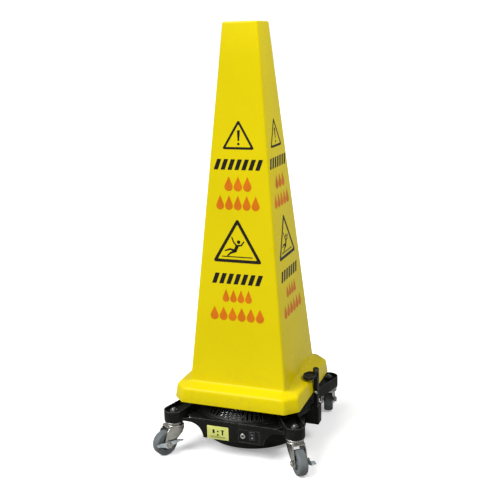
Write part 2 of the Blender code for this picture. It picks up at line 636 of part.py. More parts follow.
def make_latch():
    """Bracket with an upright on the +X side, and the tongue that holds the cone down."""
    bracket = box("latch_bracket", (BRACKET_X0, BRACKET_Y0, BRACKET_Z0),
                  (BRACKET_X1, BRACKET_Y1, BRACKET_Z1), 1.5)
    hollow = tool(box("bracket_hollow", (BRACKET_X0 - 5, BRACKET_Y0 + SHELL, BRACKET_Z0 - 5),
                      (BRACKET_X1 - SHELL, BRACKET_Y1 - SHELL, BRACKET_Z1 - SHELL)))
    relief_low = RING_BOTTOM_Z - SHELL - 2 * GAP
    relief_top, relief_foot = BRACKET_Z1 + 6, BRACKET_Z0 - 6
    relief = tool(turned("ring_relief", [(0, relief_top), (RING_R + 2 * GAP, relief_top),
                                         (RING_R + 2 * GAP, relief_low),
                                         (SHROUD_R + 2.5, relief_low),
                                         (SHROUD_R + 2.5, relief_foot), (0, relief_foot)],
                         RING_STEPS))
    cut(bracket, hollow, relief)
    put(bracket, black, base)

    post = box("latch_post", (POST_X0, POST_Y0, BRACKET_Z1 + GAP), (POST_X1, POST_Y1, POST_TOP_Z), 1.0)
    foot = tool(box("post_foot", (RING_R + 1.0, POST_Y0 + 1, BRACKET_Z1 + GAP),
                    (BRACKET_X1 - 1, BRACKET_Y1 - 1, BRACKET_Z1 + 4), 0.8))
    bolt_end = POST_TOP_Z - 19
    pivot_hole = tool(rod("pivot_hole", PIVOT_R + GAP, bolt_end - 2, POST_TOP_Z + 9),
                      (PIVOT_X, PIVOT_Y, 0))
    screw_hole = tool(rod("latch_screw_hole", 2.0 + GAP, -12, 5),
                      (LATCH_SCREW_X, POST_Y0, LATCH_SCREW_Z), (90, 0, 0))
    join(post, foot)
    cut(post, pivot_hole, screw_hole)
    put(post, black, base)

    screw = [(0, 2.6), (2.5, 2.2), (4.2, 1.0), (4.2, GAP), (2.0, GAP), (2.0, -10), (0, -10)]
    put(turned("latch_screw", screw), steel, base, (LATCH_SCREW_X, POST_Y0, LATCH_SCREW_Z),
        (90, 0, 0))

    knob_z = TONGUE_Z1 + 2.7
    bolt = [(0, PIVOT_TOP_Z), (5.5, PIVOT_TOP_Z), (7.0, PIVOT_TOP_Z - 1.3), (7.0, knob_z + 0.8),
            (6.2, knob_z), (PIVOT_R, knob_z), (PIVOT_R, bolt_end), (0, bolt_end)]
    put(turned("latch_pivot_bolt", bolt, 20), black, base, (PIVOT_X, PIVOT_Y, 0))

    offset_x, offset_y = TONGUE_X - PIVOT_X, TONGUE_Y - PIVOT_Y
    oval = [(offset_x + TONGUE_RX * math.cos(math.tau * i / 28),
             offset_y + TONGUE_RY * math.sin(math.tau * i / 28)) for i in range(28)]
    dish = [(offset_x + (x - offset_x) * 0.8, offset_y + (y - offset_y) * 0.8) for x, y in oval]
    tongue = plate("latch_tongue", oval, TONGUE_Z0, TONGUE_Z1)
    cut(tongue, tool(plate("tongue_dish", dish, TONGUE_Z1 - 2.0, TONGUE_Z1 + 5), (PIVOT_X, PIVOT_Y, 0)))
    join(tongue, tool(rod("tongue_eye", 6.8, TONGUE_Z0, TONGUE_Z1 + 2.3, 20), (PIVOT_X, PIVOT_Y, 0)))
    cut(tongue, tool(rod("tongue_bore", PIVOT_R + GAP, TONGUE_Z0 - 5, TONGUE_Z1 + 8),
                     (PIVOT_X, PIVOT_Y, 0)))
    put(tongue, black, base, (PIVOT_X, PIVOT_Y, 0))


# ---------------------------------------------------------------- casters

def make_stem(name, x, y):
    """Threaded stem, upper raceway plate and riveted kingpin in one piece."""
    top, plate_z, head_z = STEM_TOP_Z, CUP_BOTTOM_Z - 2 * GAP, CROWN_Z0 - GAP
    profile = [(0, top), (STEM_R - 0.8, top), (STEM_R, top - 1), (STEM_R, plate_z), (22.0, plate_z),
               (22.0, plate_z - 1.6), (19.0, plate_z - 2.9), (PIN_R, plate_z - 2.9), (PIN_R, head_z),
               (7.5, head_z), (6.0, head_z - 3), (0, head_z - 3)]
    put(turned("caster_stem_" + name, profile, 20), zinc, base, (x, y, 0))
    nut = rod("stem_nut_" + name, 9.0, CUP_FLOOR_Z + GAP, CUP_FLOOR_Z + 8.0, 6)
    cut(nut, tool(rod("stem_nut_bore", STEM_R + GAP, CUP_FLOOR_Z - 5, CUP_FLOOR_Z + 15), (x, y, 0)))
    put(nut, zinc, base, (x, y, 0))


def make_fork(name, swivel):
    """Stamped fork: crown with its raceway and two legs down to the axle."""
    leg = [(-17, CROWN_Z1 - 1), (22, CROWN_Z1 - 1), (29, CROWN_Z0 - 6), (38, WHEEL_R + 6)]
    leg += arc((TRAIL, WHEEL_R), 10.5, 15, -155, 8)
    leg += [(-12, CROWN_Z0 - 17), (-17, CROWN_Z0 - 6)]
    crown_half = FORK_OUT + 0.6
    fork = box("fork_" + name, (-18, -crown_half, CROWN_Z0), (24, crown_half, CROWN_Z1))
    legs = [plate("leg", leg, low, high, face="XZ")
            for low, high in ((FORK_IN, FORK_OUT), (-FORK_OUT, -FORK_IN))]
    join(fork, in_swivel(tool(together("fork_legs_" + name, legs)), swivel),
         in_swivel(tool(rod("fork_race_" + name, 20.0, CROWN_Z0 + 1, RACE_Z, 24)), swivel))
    holes = [rod("kingpin_hole", BOLT_HOLE_R, CROWN_Z0 - 5, RACE_Z + 5)]
    axle_hole = rod("axle_hole", BOLT_HOLE_R, -25, 25)
    axle_hole.data.transform(Matrix.Translation(metres((TRAIL, 0, WHEEL_R)))
                             @ Matrix.Rotation(math.pi / 2, 4, "X"))
    cut(fork, in_swivel(tool(together("fork_holes_" + name, holes + [axle_hole])), swivel))
    put(fork, zinc, swivel)


def in_swivel(obj, swivel):
    obj.parent = swivel
    return obj


def make_lever(name, swivel):
    """Brake lever on the axle: pedal behind the wheel, release tab in front."""
    arm = arc((0, 0), 8.5, 60, 120, 4) + [(-24, 6.5), (-31, 5.5), (-31, -0.5), (-24, -1.0)]
    arm += arc((0, 0), 8.5, 215, 325, 5) + [(22, 1.0), (32, 4.5), (32, 8.7), (20, 9.5)]
    lever = plate("brake_lever_" + name, arm, LEVER_IN, LEVER_OUT, face="XZ")
    pedal = box("pedal_" + name, (17.0, LEVER_IN + 0.2, 6.6), (33.5, LEVER_OUT + 8.5, 8.8))
    tab = box("tab_" + name, (-37.0, LEVER_IN + 0.2, 1.2), (-29.0, LEVER_OUT + 4.0, 3.4))
    bore = rod("lever_bore_" + name, BOLT_HOLE_R, -30, 30)
    bore.data.transform(Matrix.Rotation(math.pi / 2, 4, "X"))
    axle_place = (TRAIL, 0, WHEEL_R)
    join(lever, in_swivel(tool(pedal, axle_place), swivel), in_swivel(tool(tab, axle_place), swivel))
    cut(lever, in_swivel(tool(bore, axle_place), swivel))
    put(lever, zinc, swivel, axle_place)


def make_wheel(name, swivel):
    """Tyre on its hub, the axle bolt with its head beyond the lever, and the nut."""
    axle_place, across = (TRAIL, 0, WHEEL_R), (-90, 0, 0)
    tread = TREAD_HALF
    tyre = [(WHEEL_R - 3.0, tread), (WHEEL_R - 0.7, tread - 2.2), (WHEEL_R, tread - 6),
            (WHEEL_R, 6 - tread), (WHEEL_R - 0.7, 2.2 - tread), (WHEEL_R - 3.0, -tread),
            (HUB_R + GAP, -tread), (HUB_R + GAP, tread)]
    put(turned("tyre_" + name, tyre, 24), tyre_grey, swivel, axle_place, across)

    rim_half, rim_r = tread - 1.0, HUB_R - 3.5
    hub = [(HUB_R, rim_half), (HUB_R, -rim_half), (rim_r, -rim_half), (rim_r - 1, -4), (9, -4),
           (8, -HUB_HALF), (BOLT_HOLE_R, -HUB_HALF), (BOLT_HOLE_R, HUB_HALF), (8, HUB_HALF), (9, 4),
           (rim_r - 1, 4), (rim_r, rim_half)]
    put(turned("wheel_hub_" + name, hub), hub_grey, swivel, axle_place, across)

    head = LEVER_OUT + GAP
    axle = rod("axle_" + name, PIN_R, -FORK_OUT - 6.0, head + 1.0)
    hexagon = in_swivel(tool(rod("axle_head_" + name, 7.0, head, head + 4.0, 6), axle_place, across),
                        swivel)
    join(axle, hexagon)
    put(axle, zinc, swivel, axle_place, across)


def make_race(name, swivel):
    top = CUP_BOTTOM_Z - 2 * GAP - 2.9 - GAP
    race = [(18.5, top), (19.5, top - 1), (18.5, RACE_Z + GAP), (14, RACE_Z + GAP), (14, top)]
    put(turned("ball_race_" + name, race, 20), steel, swivel)


def make_casters():
    for name, (sign_x, sign_y, angle, heading) in CASTERS.items():
        x, y = sign_x * STEM_X, sign_y * STEM_X
        make_stem(name, x, y)
        swivel = bpy.data.objects.new("swivel_" + name, None)
        parts.objects.link(swivel)
        swivel.parent = base
        swivel.location = metres((x, y, 0))
        swivel.rotation_euler = (0, 0, math.radians(heading))
        make_race(name, swivel)
        make_fork(name, swivel)
        make_lever(name, swivel)
        make_wheel(name, swivel)


clear_scene()
parts = new_collection("wet_floor_cone_dryer")
cutters = new_collection("cutters")
base = bpy.data.objects.new("sign_base", None)
parts.objects.link(base)

yellow = material("yellow_plastic", (0.83, 0.66, 0.01), 0.32)
black = material("black_plastic", (0.022, 0.021, 0.022), 0.42)
switch_black = material("switch_black", (0.01, 0.01, 0.011), 0.3)
fan_grey = material("fan_grey", (0.09, 0.09, 0.1), 0.5)
zinc = material("zinc_plate", (0.74, 0.74, 0.72), 0.28, 1.0)
steel = material("steel", (0.55, 0.55, 0.55), 0.35, 1.0)
tyre_grey = material("grey_rubber", (0.18, 0.2, 0.2), 0.6)
hub_grey = material("grey_nylon", (0.28, 0.3, 0.31), 0.5)
battery_grey = material("battery_case", (0.05, 0.055, 0.06), 0.5)
board_green = material("board_green", (0.02, 0.16, 0.07), 0.45)
red = material("red_insulation", (0.5, 0.02, 0.015), 0.5)
label_yellow = material("label_face", (0.72, 0.76, 0.2), 0.4)

make_cone()
make_chassis()
make_shroud()
make_guard()
make_motor()
make_fan()
make_battery()
make_electrics()
make_panel()
make_latch()
make_casters()
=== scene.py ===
import json
import math

import bmesh
import bpy
from mathutils import Matrix, Vector


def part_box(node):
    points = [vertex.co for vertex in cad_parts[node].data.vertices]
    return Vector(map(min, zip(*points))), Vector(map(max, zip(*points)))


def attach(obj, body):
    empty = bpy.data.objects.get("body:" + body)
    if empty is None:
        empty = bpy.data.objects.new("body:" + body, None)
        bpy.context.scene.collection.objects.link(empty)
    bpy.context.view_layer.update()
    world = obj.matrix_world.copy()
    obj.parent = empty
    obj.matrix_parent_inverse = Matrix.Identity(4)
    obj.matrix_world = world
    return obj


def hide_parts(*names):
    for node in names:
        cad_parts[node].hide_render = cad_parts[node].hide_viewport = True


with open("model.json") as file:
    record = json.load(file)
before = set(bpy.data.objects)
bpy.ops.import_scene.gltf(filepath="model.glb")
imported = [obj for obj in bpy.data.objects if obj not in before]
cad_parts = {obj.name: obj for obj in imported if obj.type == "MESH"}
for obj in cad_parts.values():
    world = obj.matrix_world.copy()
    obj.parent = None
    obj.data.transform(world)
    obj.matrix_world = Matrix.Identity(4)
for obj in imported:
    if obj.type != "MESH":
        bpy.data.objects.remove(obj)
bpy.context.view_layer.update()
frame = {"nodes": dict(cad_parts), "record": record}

MM = 0.001
JOINTS = {joint["name"]: joint for joint in frame["record"]["behaviour"]["joints"]}
# Signs of x and y, and how far the arm turns away from the x axis, in degrees.
CORNERS = {"front_left": (-1, -1, 74.0), "front_right": (1, -1, 57.0),
           "rear_right": (1, 1, 74.0), "rear_left": (-1, 1, 57.0)}


# ---------------------------------------------------------------- camera

def make_camera():
    azimuth, elevation, roll = math.radians(20.14), math.radians(14.20), math.radians(-1.383)
    back = Vector((math.sin(azimuth) * math.cos(elevation),
                   -math.cos(azimuth) * math.cos(elevation), math.sin(elevation)))
    right = Vector((math.cos(azimuth), math.sin(azimuth), 0.0))
    up = back.cross(right)
    side = right * math.cos(roll) + up * math.sin(roll)
    top = up * math.cos(roll) - right * math.sin(roll)
    data = bpy.data.cameras.new("camera")
    data.lens = 60.4
    data.sensor_width = 36.0
    data.clip_end = 60.0
    camera = bpy.data.objects.new("camera", data)
    bpy.context.scene.collection.objects.link(camera)
    pose = Matrix((side, top, back)).transposed().to_4x4()
    pose.translation = (0.6395, -1.7505, 0.9246)
    camera.matrix_world = pose
    bpy.context.scene.camera = camera


# ---------------------------------------------------------------- node helpers

class Nodes:
    """Short names for building one material's node tree."""

    def __init__(self, name, color, roughness, metallic=0.0):
        self.material = bpy.data.materials.new(name)
        self.material.use_nodes = True
        self.tree = self.material.node_tree
        self.shader = self.tree.nodes["Principled BSDF"]
        self.shader.inputs["Base Color"].default_value = (*color, 1.0)
        self.shader.inputs["Roughness"].default_value = roughness
        self.shader.inputs["Metallic"].default_value = metallic
        self.coords = self.tree.nodes.new("ShaderNodeTexCoord").outputs["Object"]

    def link(self, output, target):
        self.tree.links.new(output, target)

    def noise(self, scale, detail=3.0, rough=0.5, stretch=None):
        node = self.tree.nodes.new("ShaderNodeTexNoise")
        node.inputs["Scale"].default_value = scale
        node.inputs["Detail"].default_value = detail
        node.inputs["Roughness"].default_value = rough
        place = self.coords
        if stretch:
            mapping = self.tree.nodes.new("ShaderNodeMapping")
            mapping.inputs["Scale"].default_value = stretch
            self.link(self.coords, mapping.inputs["Vector"])
            place = mapping.outputs["Vector"]
        self.link(place, node.inputs["Vector"])
        return node.outputs["Fac"]

    def ramp(self, value, low, high, start=0.0, end=1.0):
        node = self.tree.nodes.new("ShaderNodeMapRange")
        node.inputs["From Min"].default_value = low
        node.inputs["From Max"].default_value = high
        node.inputs["To Min"].default_value = start
        node.inputs["To Max"].default_value = end
        self.link(value, node.inputs["Value"])
        return node.outputs["Result"]

    def math(self, operation, first, second):
        node = self.tree.nodes.new("ShaderNodeMath")
        node.operation = operation
        for socket, value in zip(node.inputs, (first, second)):
            if isinstance(value, float):
                socket.default_value = value
            else:
                self.link(value, socket)
        return node.outputs["Value"]

    def mix(self, factor, first, second):
        node = self.tree.nodes.new("ShaderNodeMix")
        node.data_type = "RGBA"
        self.link(factor, node.inputs["Factor"])
        for socket, value in ((node.inputs["A"], first), (node.inputs["B"], second)):
            if isinstance(value, tuple):
                socket.default_value = (*value, 1.0)
            else:
                self.link(value, socket)
        return node.outputs["Result"]

    def height(self):
        node = self.tree.nodes.new("ShaderNodeSeparateXYZ")
        self.link(self.coords, node.inputs["Vector"])
        return node.outputs["Z"]

    def edges(self, radius):
        """1 on convex edges narrower than the radius, 0 on flat faces."""
        bevel = self.tree.nodes.new("ShaderNodeBevel")
        bevel.inputs["Radius"].default_value = radius
        geometry = self.tree.nodes.new("ShaderNodeNewGeometry")
        dot = self.tree.nodes.new("ShaderNodeVectorMath")
        dot.operation = "DOT_PRODUCT"
        self.link(bevel.outputs["Normal"], dot.inputs[0])
        self.link(geometry.outputs["Normal"], dot.inputs[1])
        return self.ramp(dot.outputs["Value"], 0.995, 0.9, 0.0, 1.0)

    def color(self, output):
        self.link(output, self.shader.inputs["Base Color"])

    def roughness(self, output):
        self.link(output, self.shader.inputs["Roughness"])

    def bump(self, *layers):
        """Layers of (height output, strength, distance in metres), one on the other."""
        normal = None
        for value, strength, distance in layers:
            node = self.tree.nodes.new("ShaderNodeBump")
            node.inputs["Strength"].default_value = strength
            node.inputs["Distance"].default_value = distance
            self.link(value, node.inputs["Height"])
            if normal:
                self.link(normal, node.inputs["Normal"])
            normal = node.outputs["Normal"]
        self.link(normal, self.shader.inputs["Normal"])


# ---------------------------------------------------------------- materials

def yellow_plastic():
    n = Nodes("yellow_plastic", (0.58, 0.48, 0.003), 0.36)
    clouds = n.ramp(n.noise(5.0, 4.0), 0.35, 0.7)
    tone = n.mix(clouds, (0.585, 0.478, 0.001), (0.635, 0.515, 0.002))
    scuffs = n.ramp(n.noise(38.0, 6.0, 0.7, (1.0, 1.0, 0.12)), 0.60, 0.74)
    worn = n.mix(n.math("MULTIPLY", scuffs, 0.16), tone, (0.50, 0.41, 0.03))
    low = n.ramp(n.height(), 0.24, 0.13)
    grime = n.math("MULTIPLY", low, n.ramp(n.noise(60.0, 5.0, 0.65), 0.48, 0.75))
    n.color(n.mix(n.math("MULTIPLY", grime, 0.22), worn, (0.27, 0.22, 0.03)))
    n.roughness(n.math("ADD", n.ramp(n.noise(9.0, 3.0), 0.3, 0.7, 0.22, 0.34),
                       n.math("MULTIPLY", scuffs, 0.16)))
    n.bump((n.noise(7.0, 2.0), 0.25, 0.0015), (n.noise(700.0, 2.0), 0.05, 0.0002))
    n.shader.inputs["Specular IOR Level"].default_value = 0.1
    return n.material


def black_plastic():
    n = Nodes("black_plastic", (0.008, 0.008, 0.007), 0.42)
    tone = n.mix(n.ramp(n.noise(14.0, 4.0), 0.35, 0.7), (0.004, 0.004, 0.003), (0.009, 0.009, 0.008))
    dust = n.math("MULTIPLY", n.ramp(n.noise(90.0, 6.0, 0.7), 0.5, 0.8), 0.08)
    dusty = n.mix(dust, tone, (0.10, 0.10, 0.09))
    # Convex edges turned grey in patches: partly edge wear, partly a painted highlight where light catches
    # the rims.
    wear_and_highlight = n.math("MULTIPLY", n.edges(0.0013), n.ramp(n.noise(120.0, 3.0), 0.3, 0.7, 0.2, 0.8))
    n.color(n.mix(wear_and_highlight, dusty, (0.20, 0.21, 0.21)))
    n.shader.inputs["Specular IOR Level"].default_value = 0.12
    n.roughness(n.ramp(n.noise(30.0, 4.0), 0.3, 0.7, 0.33, 0.52))
    n.bump((n.noise(1100.0, 2.0), 0.22, 0.0002), (n.noise(40.0, 3.0), 0.10, 0.0006))
    return n.material


def speckled(name, color, rough, tones, clouds, gloss, grain, low=0.35, metallic=0.0):
    """Two tones in clouds, uneven gloss (scale, low, high) and a grain (scale, detail, strength)."""
    n = Nodes(name, color, rough, metallic)
    n.color(n.mix(n.ramp(n.noise(*clouds), low, 0.7), *tones))
    n.roughness(n.ramp(n.noise(gloss[0], 4.0), 0.3, 0.7, *gloss[1:]))
    n.bump((n.noise(*grain[:2]), grain[2], 0.0002))
    return n.material


def gloss_black():
    return speckled("gloss_black", (0.008, 0.008, 0.012), 0.22,
                    ((0.006, 0.006, 0.010), (0.016, 0.016, 0.024)),
                    (60.0, 4.0), (110.0, 0.18, 0.34), (500.0, 2.0, 0.06), low=0.4)


def zinc_plate():
    n = Nodes("zinc_plate", (0.52, 0.51, 0.47), 0.25, 1.0)
    patches = n.ramp(n.noise(70.0, 5.0, 0.6), 0.35, 0.68)
    tint = n.mix(patches, (0.60, 0.59, 0.55), (0.42, 0.41, 0.37))
    stains = n.ramp(n.noise(150.0, 6.0, 0.7), 0.58, 0.74)
    n.color(n.mix(n.math("MULTIPLY", stains, 0.35), tint, (0.26, 0.22, 0.14)))
    n.roughness(n.math("ADD", n.ramp(n.noise(120.0, 4.0), 0.3, 0.7, 0.16, 0.32),
                       n.math("MULTIPLY", stains, 0.2)))
    n.bump((n.noise(260.0, 3.0), 0.12, 0.0003))
    return n.material


def plain_metal(name, color, spread, rough):
    lighter = tuple(value * spread for value in color)
    return speckled(name, color, rough[0], (color, lighter), (90.0, 5.0, 0.65), (140.0, *rough),
                    (400.0, 3.0, 0.15), metallic=1.0)


def brushed_steel():
    n = Nodes("brushed_steel", (0.55, 0.55, 0.55), 0.35, 1.0)
    lines = n.noise(220.0, 3.0, 0.6, (1.0, 12.0, 1.0))
    n.color(n.mix(n.ramp(lines, 0.35, 0.65), (0.48, 0.48, 0.48), (0.64, 0.64, 0.63)))
    n.roughness(n.ramp(lines, 0.3, 0.7, 0.26, 0.42))
    n.bump((lines, 0.1, 0.0002))
    return n.material


def grey_rubber():
    n = Nodes("grey_rubber", (0.2, 0.21, 0.2), 0.62)
    tone = n.mix(n.ramp(n.noise(35.0, 4.0), 0.35, 0.7), (0.085, 0.096, 0.10), (0.135, 0.15, 0.155))
    dirt = n.ramp(n.noise(140.0, 6.0, 0.75), 0.52, 0.78)
    n.color(n.mix(n.math("MULTIPLY", dirt, 0.45), tone, (0.10, 0.09, 0.07)))
    n.roughness(n.ramp(n.noise(80.0, 4.0), 0.3, 0.7, 0.5, 0.72))
    n.bump((n.noise(420.0, 4.0), 0.25, 0.0003))
    return n.material


def grey_nylon():
    return speckled("grey_nylon", (0.3, 0.31, 0.32), 0.45, ((0.13, 0.14, 0.15), (0.20, 0.21, 0.22)),
                    (45.0, 4.0), (70.0, 0.38, 0.55), (600.0, 2.0, 0.12))


def ink(name, color):
    """Screen print on the cone, a little uneven and worn."""
    n = Nodes(name, color, 0.4)
    n.shader.inputs["Specular IOR Level"].default_value = 0.15
    wear_and_highlight = n.ramp(n.noise(230.0, 6.0, 0.75), 0.60, 0.76)
    darker = tuple(value * 0.8 for value in color)
    tone = n.mix(n.ramp(n.noise(30.0, 3.0), 0.35, 0.7), color, darker)
    n.color(n.mix(n.math("MULTIPLY", wear_and_highlight, 0.22), tone, (0.55, 0.45, 0.02)))
    n.roughness(n.ramp(n.noise(60.0, 3.0), 0.3, 0.7, 0.34, 0.48))
    n.bump((n.noise(700.0, 2.0), 0.05, 0.0001))
    return n.material


def label_film():
    return speckled("label_film", (0.5, 0.52, 0.16), 0.35, ((0.54, 0.56, 0.13), (0.62, 0.64, 0.18)),
                    (70.0, 4.0), (100.0, 0.28, 0.44), (160.0, 3.0, 0.10))


def plain_plastic(name, color, spread=1.3, rough=(0.4, 0.55)):
    lighter = tuple(min(1.0, value * spread) for value in color)
    return speckled(name, color, rough[0], (color, lighter), (60.0, 4.0), (90.0, *rough), (500.0, 2.0, 0.12))


def floor_paint():
    """White where it is looked at, and darker in the light that it throws back."""
    n = Nodes("floor_paint", (0.9, 0.9, 0.9), 0.7)
    seen = n.tree.nodes.new("ShaderNodeLightPath").outputs["Is Camera Ray"]
    tone = n.mix(n.ramp(n.noise(1.5, 3.0), 0.3, 0.7), (0.90, 0.90, 0.90), (0.93, 0.93, 0.925))
    n.color(n.mix(seen, (0.38, 0.38, 0.37), tone))
    n.shader.inputs["Emission Color"].default_value = (1.0, 1.0, 1.0, 1.0)
    n.link(n.math("MULTIPLY", seen, 0.3), n.shader.inputs["Emission Strength"])
    n.shader.inputs["Specular IOR Level"].default_value = 0.1
    return n.material


# ---------------------------------------------------------------- mesh helpers

def place_at(obj, matrix):
    """Turns the mesh itself and only moves the object, so that its box stays tight."""
    obj.data.transform(matrix.to_3x3().to_4x4())
    obj.matrix_world = Matrix.Translation(matrix.translation)


def finish_mesh(name, bm, mat, sharp=35.0, matrix=None):
    bmesh.ops.remove_doubles(bm, verts=bm.verts, dist=1e-7)
    bmesh.ops.recalc_face_normals(bm, faces=bm.faces)
    mesh = bpy.data.meshes.new(name)
    bm.to_mesh(mesh)
    bm.free()
    obj = bpy.data.objects.new(name, mesh)
    bpy.context.scene.collection.objects.link(obj)
    if matrix:
        place_at(obj, matrix)
    mesh.materials.append(mat)
    mesh.shade_smooth()
    mesh.set_sharp_from_angle(angle=math.radians(sharp))
    return obj


def add_loft(bm, rings, loop=False):
    """Faces between rings of points; loop joins the last ring to the first."""
    rows = [[bm.verts.new(point) for point in ring] for ring in rings]
    for lower, upper in zip(rows, rows[1:] + (rows[:1] if loop else [])):
        for i in range(len(lower)):
            j = (i + 1) % len(lower)
            bm.faces.new((lower[i], lower[j], upper[j], upper[i]))
    if not loop:
        bm.faces.new(rows[0][::-1])
        bm.faces.new(rows[-1])


def add_lathe(bm, profile, steps, matrix=None):
    """A (radius, height) profile in mm turned about Z; radius 0 closes on the axis."""
    rows = []
    for radius, height in profile:
        count = steps if radius > 0 else 1
        rows.append([bm.verts.new((radius * MM * math.cos(math.tau * i / steps),
                                   radius * MM * math.sin(math.tau * i / steps), height * MM))
                     for i in range(count)])
    on_axis = profile[0][0] == 0 and profile[-1][0] == 0
    for first, second in zip(rows, rows[1:] + ([] if on_axis else rows[:1])):
        for i in range(steps):
            j = (i + 1) % steps
            if len(first) == 1:
                bm.faces.new((first[0], second[j], second[i]))
            elif len(second) == 1:
                bm.faces.new((first[i], first[j], second[0]))
            else:
                bm.faces.new((first[i], first[j], second[j], second[i]))
    if matrix:
        made = [vert for row in rows for vert in row]
        bmesh.ops.transform(bm, matrix=matrix, verts=made)


def rounded(points, radius, steps=3, closed=True):
    """An outline with its corners rounded; radius is one value or one for each corner."""
    radii = radius if isinstance(radius, (list, tuple)) else [radius] * len(points)
    out = []
    count = len(points)
    for i, (point, r) in enumerate(zip(points, radii)):
        if (not closed and i in (0, count - 1)) or r == 0:
            out.append(tuple(point))
            continue
        here = Vector(point)
        before, after = Vector(points[i - 1]) - here, Vector(points[(i + 1) % count]) - here
        angle = before.angle(after)
        reach = min(r / math.tan(angle / 2), before.length * 0.48, after.length * 0.48)
        start, end = here + before.normalized() * reach, here + after.normalized() * reach
        for k in range(steps + 1):
            t = k / steps
            out.append(tuple(start * (1 - t) ** 2 + here * 2 * t * (1 - t) + end * t ** 2))
    return out


def add_prism(bm, outline, low, high, edge=0.0, matrix=None, face="XY"):
    """A flat outline (mm) made solid between two levels, its rims rounded by edge."""
    made = bmesh.new()
    if face == "XY":
        places = [[(u * MM, v * MM, w * MM) for u, v in outline] for w in (low, high)]
    else:
        places = [[(u * MM, w * MM, v * MM) for u, v in outline] for w in (low, high)]
    rows = [[made.verts.new(place) for place in row] for row in places]
    bottom, top = made.faces.new(rows[0]), made.faces.new(rows[1])
    for i in range(len(outline)):
        j = (i + 1) % len(outline)
        made.faces.new((rows[0][i], rows[0][j], rows[1][j], rows[1][i]))
    bmesh.ops.recalc_face_normals(made, faces=made.faces)
    if edge:
        rims = list(set(bottom.edges) | set(top.edges))
        bmesh.ops.bevel(made, geom=rims, offset=edge * MM, segments=2, profile=0.5,
                        affect="EDGES", clamp_overlap=True)
    if matrix:
        bmesh.ops.transform(made, matrix=matrix, verts=made.verts)
    join_into(bm, made)


def add_box(bm, low, high, edge=0.0, matrix=None, segments=2):
    made = bmesh.new()
    bmesh.ops.create_cube(made, size=1.0)
    size = [(b - a) * MM for a, b in zip(low, high)]
    middle = Vector([(a + b) / 2 * MM for a, b in zip(low, high)])
    bmesh.ops.scale(made, vec=size, verts=made.verts)
    bmesh.ops.translate(made, vec=middle, verts=made.verts)
    if edge:
        bmesh.ops.bevel(made, geom=made.edges[:], offset=edge * MM, segments=segments, profile=0.5,
                        affect="EDGES")
    if matrix:
        bmesh.ops.transform(made, matrix=matrix, verts=made.verts)
    join_into(bm, made)


def join_into(bm, other):
    mesh = bpy.data.meshes.new("part")
    other.to_mesh(mesh)
    other.free()
    bm.from_mesh(mesh)
    bpy.data.meshes.remove(mesh)


def arc(centre, radius, start, end, count):
    return [(centre[0] + radius * math.cos(math.radians(start + (end - start) * i / count)),
             centre[1] + radius * math.sin(math.radians(start + (end - start) * i / count)))
            for i in range(count + 1)]


def rectangle(left, low, right, high):
    return [(left, low), (right, low), (right, high), (left, high)]


def hexagon(size):
    return [(size * math.cos(math.tau * i / 6), size * math.sin(math.tau * i / 6)) for i in range(6)]


def rod(radius, low, high):
    """The lathe profile of a plain cylinder."""
    return [(0, high), (radius, high), (radius, low), (0, low)]


def turns(count):
    return [Matrix.Rotation(math.tau * i / count, 4, "Z") for i in range(count)]


def combine(obj, other, operation):
    """Applies one Boolean and removes the other object."""
    change = obj.modifiers.new("combine", "BOOLEAN")
    change.operation = operation
    change.object = other
    change.solver = "MANIFOLD"
    evaluated = obj.evaluated_get(bpy.context.evaluated_depsgraph_get())
    mesh = bpy.data.meshes.new_from_object(evaluated)
    obj.modifiers.clear()
    obj.data = mesh
    bpy.data.objects.remove(other, do_unlink=True)


def tool(name, mat, build):
    """One object from what build draws in an empty mesh."""
    bm = bmesh.new()
    build(bm)
    return finish_mesh(name, bm, mat)


def join(obj, build):
    combine(obj, tool("addition", obj.data.materials[0], build), "UNION")


def cut(obj, build):
    combine(obj, tool("cutter", obj.data.materials[0], build), "DIFFERENCE")


def smooth_again(obj, mat, sharp=35.0):
    obj.data.materials.clear()
    obj.data.materials.append(mat)
    obj.data.shade_smooth()
    obj.data.set_sharp_from_angle(angle=math.radians(sharp))


def piece(obj, body, slot, *nodes):
    """Every new piece rides on a body and may stand for CAD nodes, which it hides; slot is not used."""
    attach(obj, body)
    if nodes:
        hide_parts(*nodes)


def node_box(name):
    """A node's box in millimetres."""
    low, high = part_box(name)
    return [value / MM for value in low], [value / MM for value in high]


# ---------------------------------------------------------------- cone

CONE_LOW, CONE_HIGH = node_box("safety_cone")
TOP_Z, BOTTOM_Z = CONE_HIGH[2], CONE_LOW[2]
BOTTOM_HALF = CONE_HIGH[0]
FOOT_HALF, FOOT_Z = 113.75, 168.0
RIM_HALF, RIM_Z = 40.04, TOP_Z - 4.0
FACE_SLOPE = (FOOT_HALF - RIM_HALF) / (RIM_Z - FOOT_Z)
BODY_CHAMFER, FLANGE_CHAMFER, CONE_WALL = 3.0, 26.5, 3.0


def cone_section(half, chamfer, fillet, height):
    """A square with cut corners, each corner of the cut rounded by fillet."""
    inner = half - chamfer
    corners = [(-inner, -half), (inner, -half), (half, -inner), (half, inner),
               (inner, half), (-inner, half), (-half, inner), (-half, -inner)]
    return [Vector((x * MM, y * MM, height * MM)) for x, y in rounded(corners, fillet, 4)]


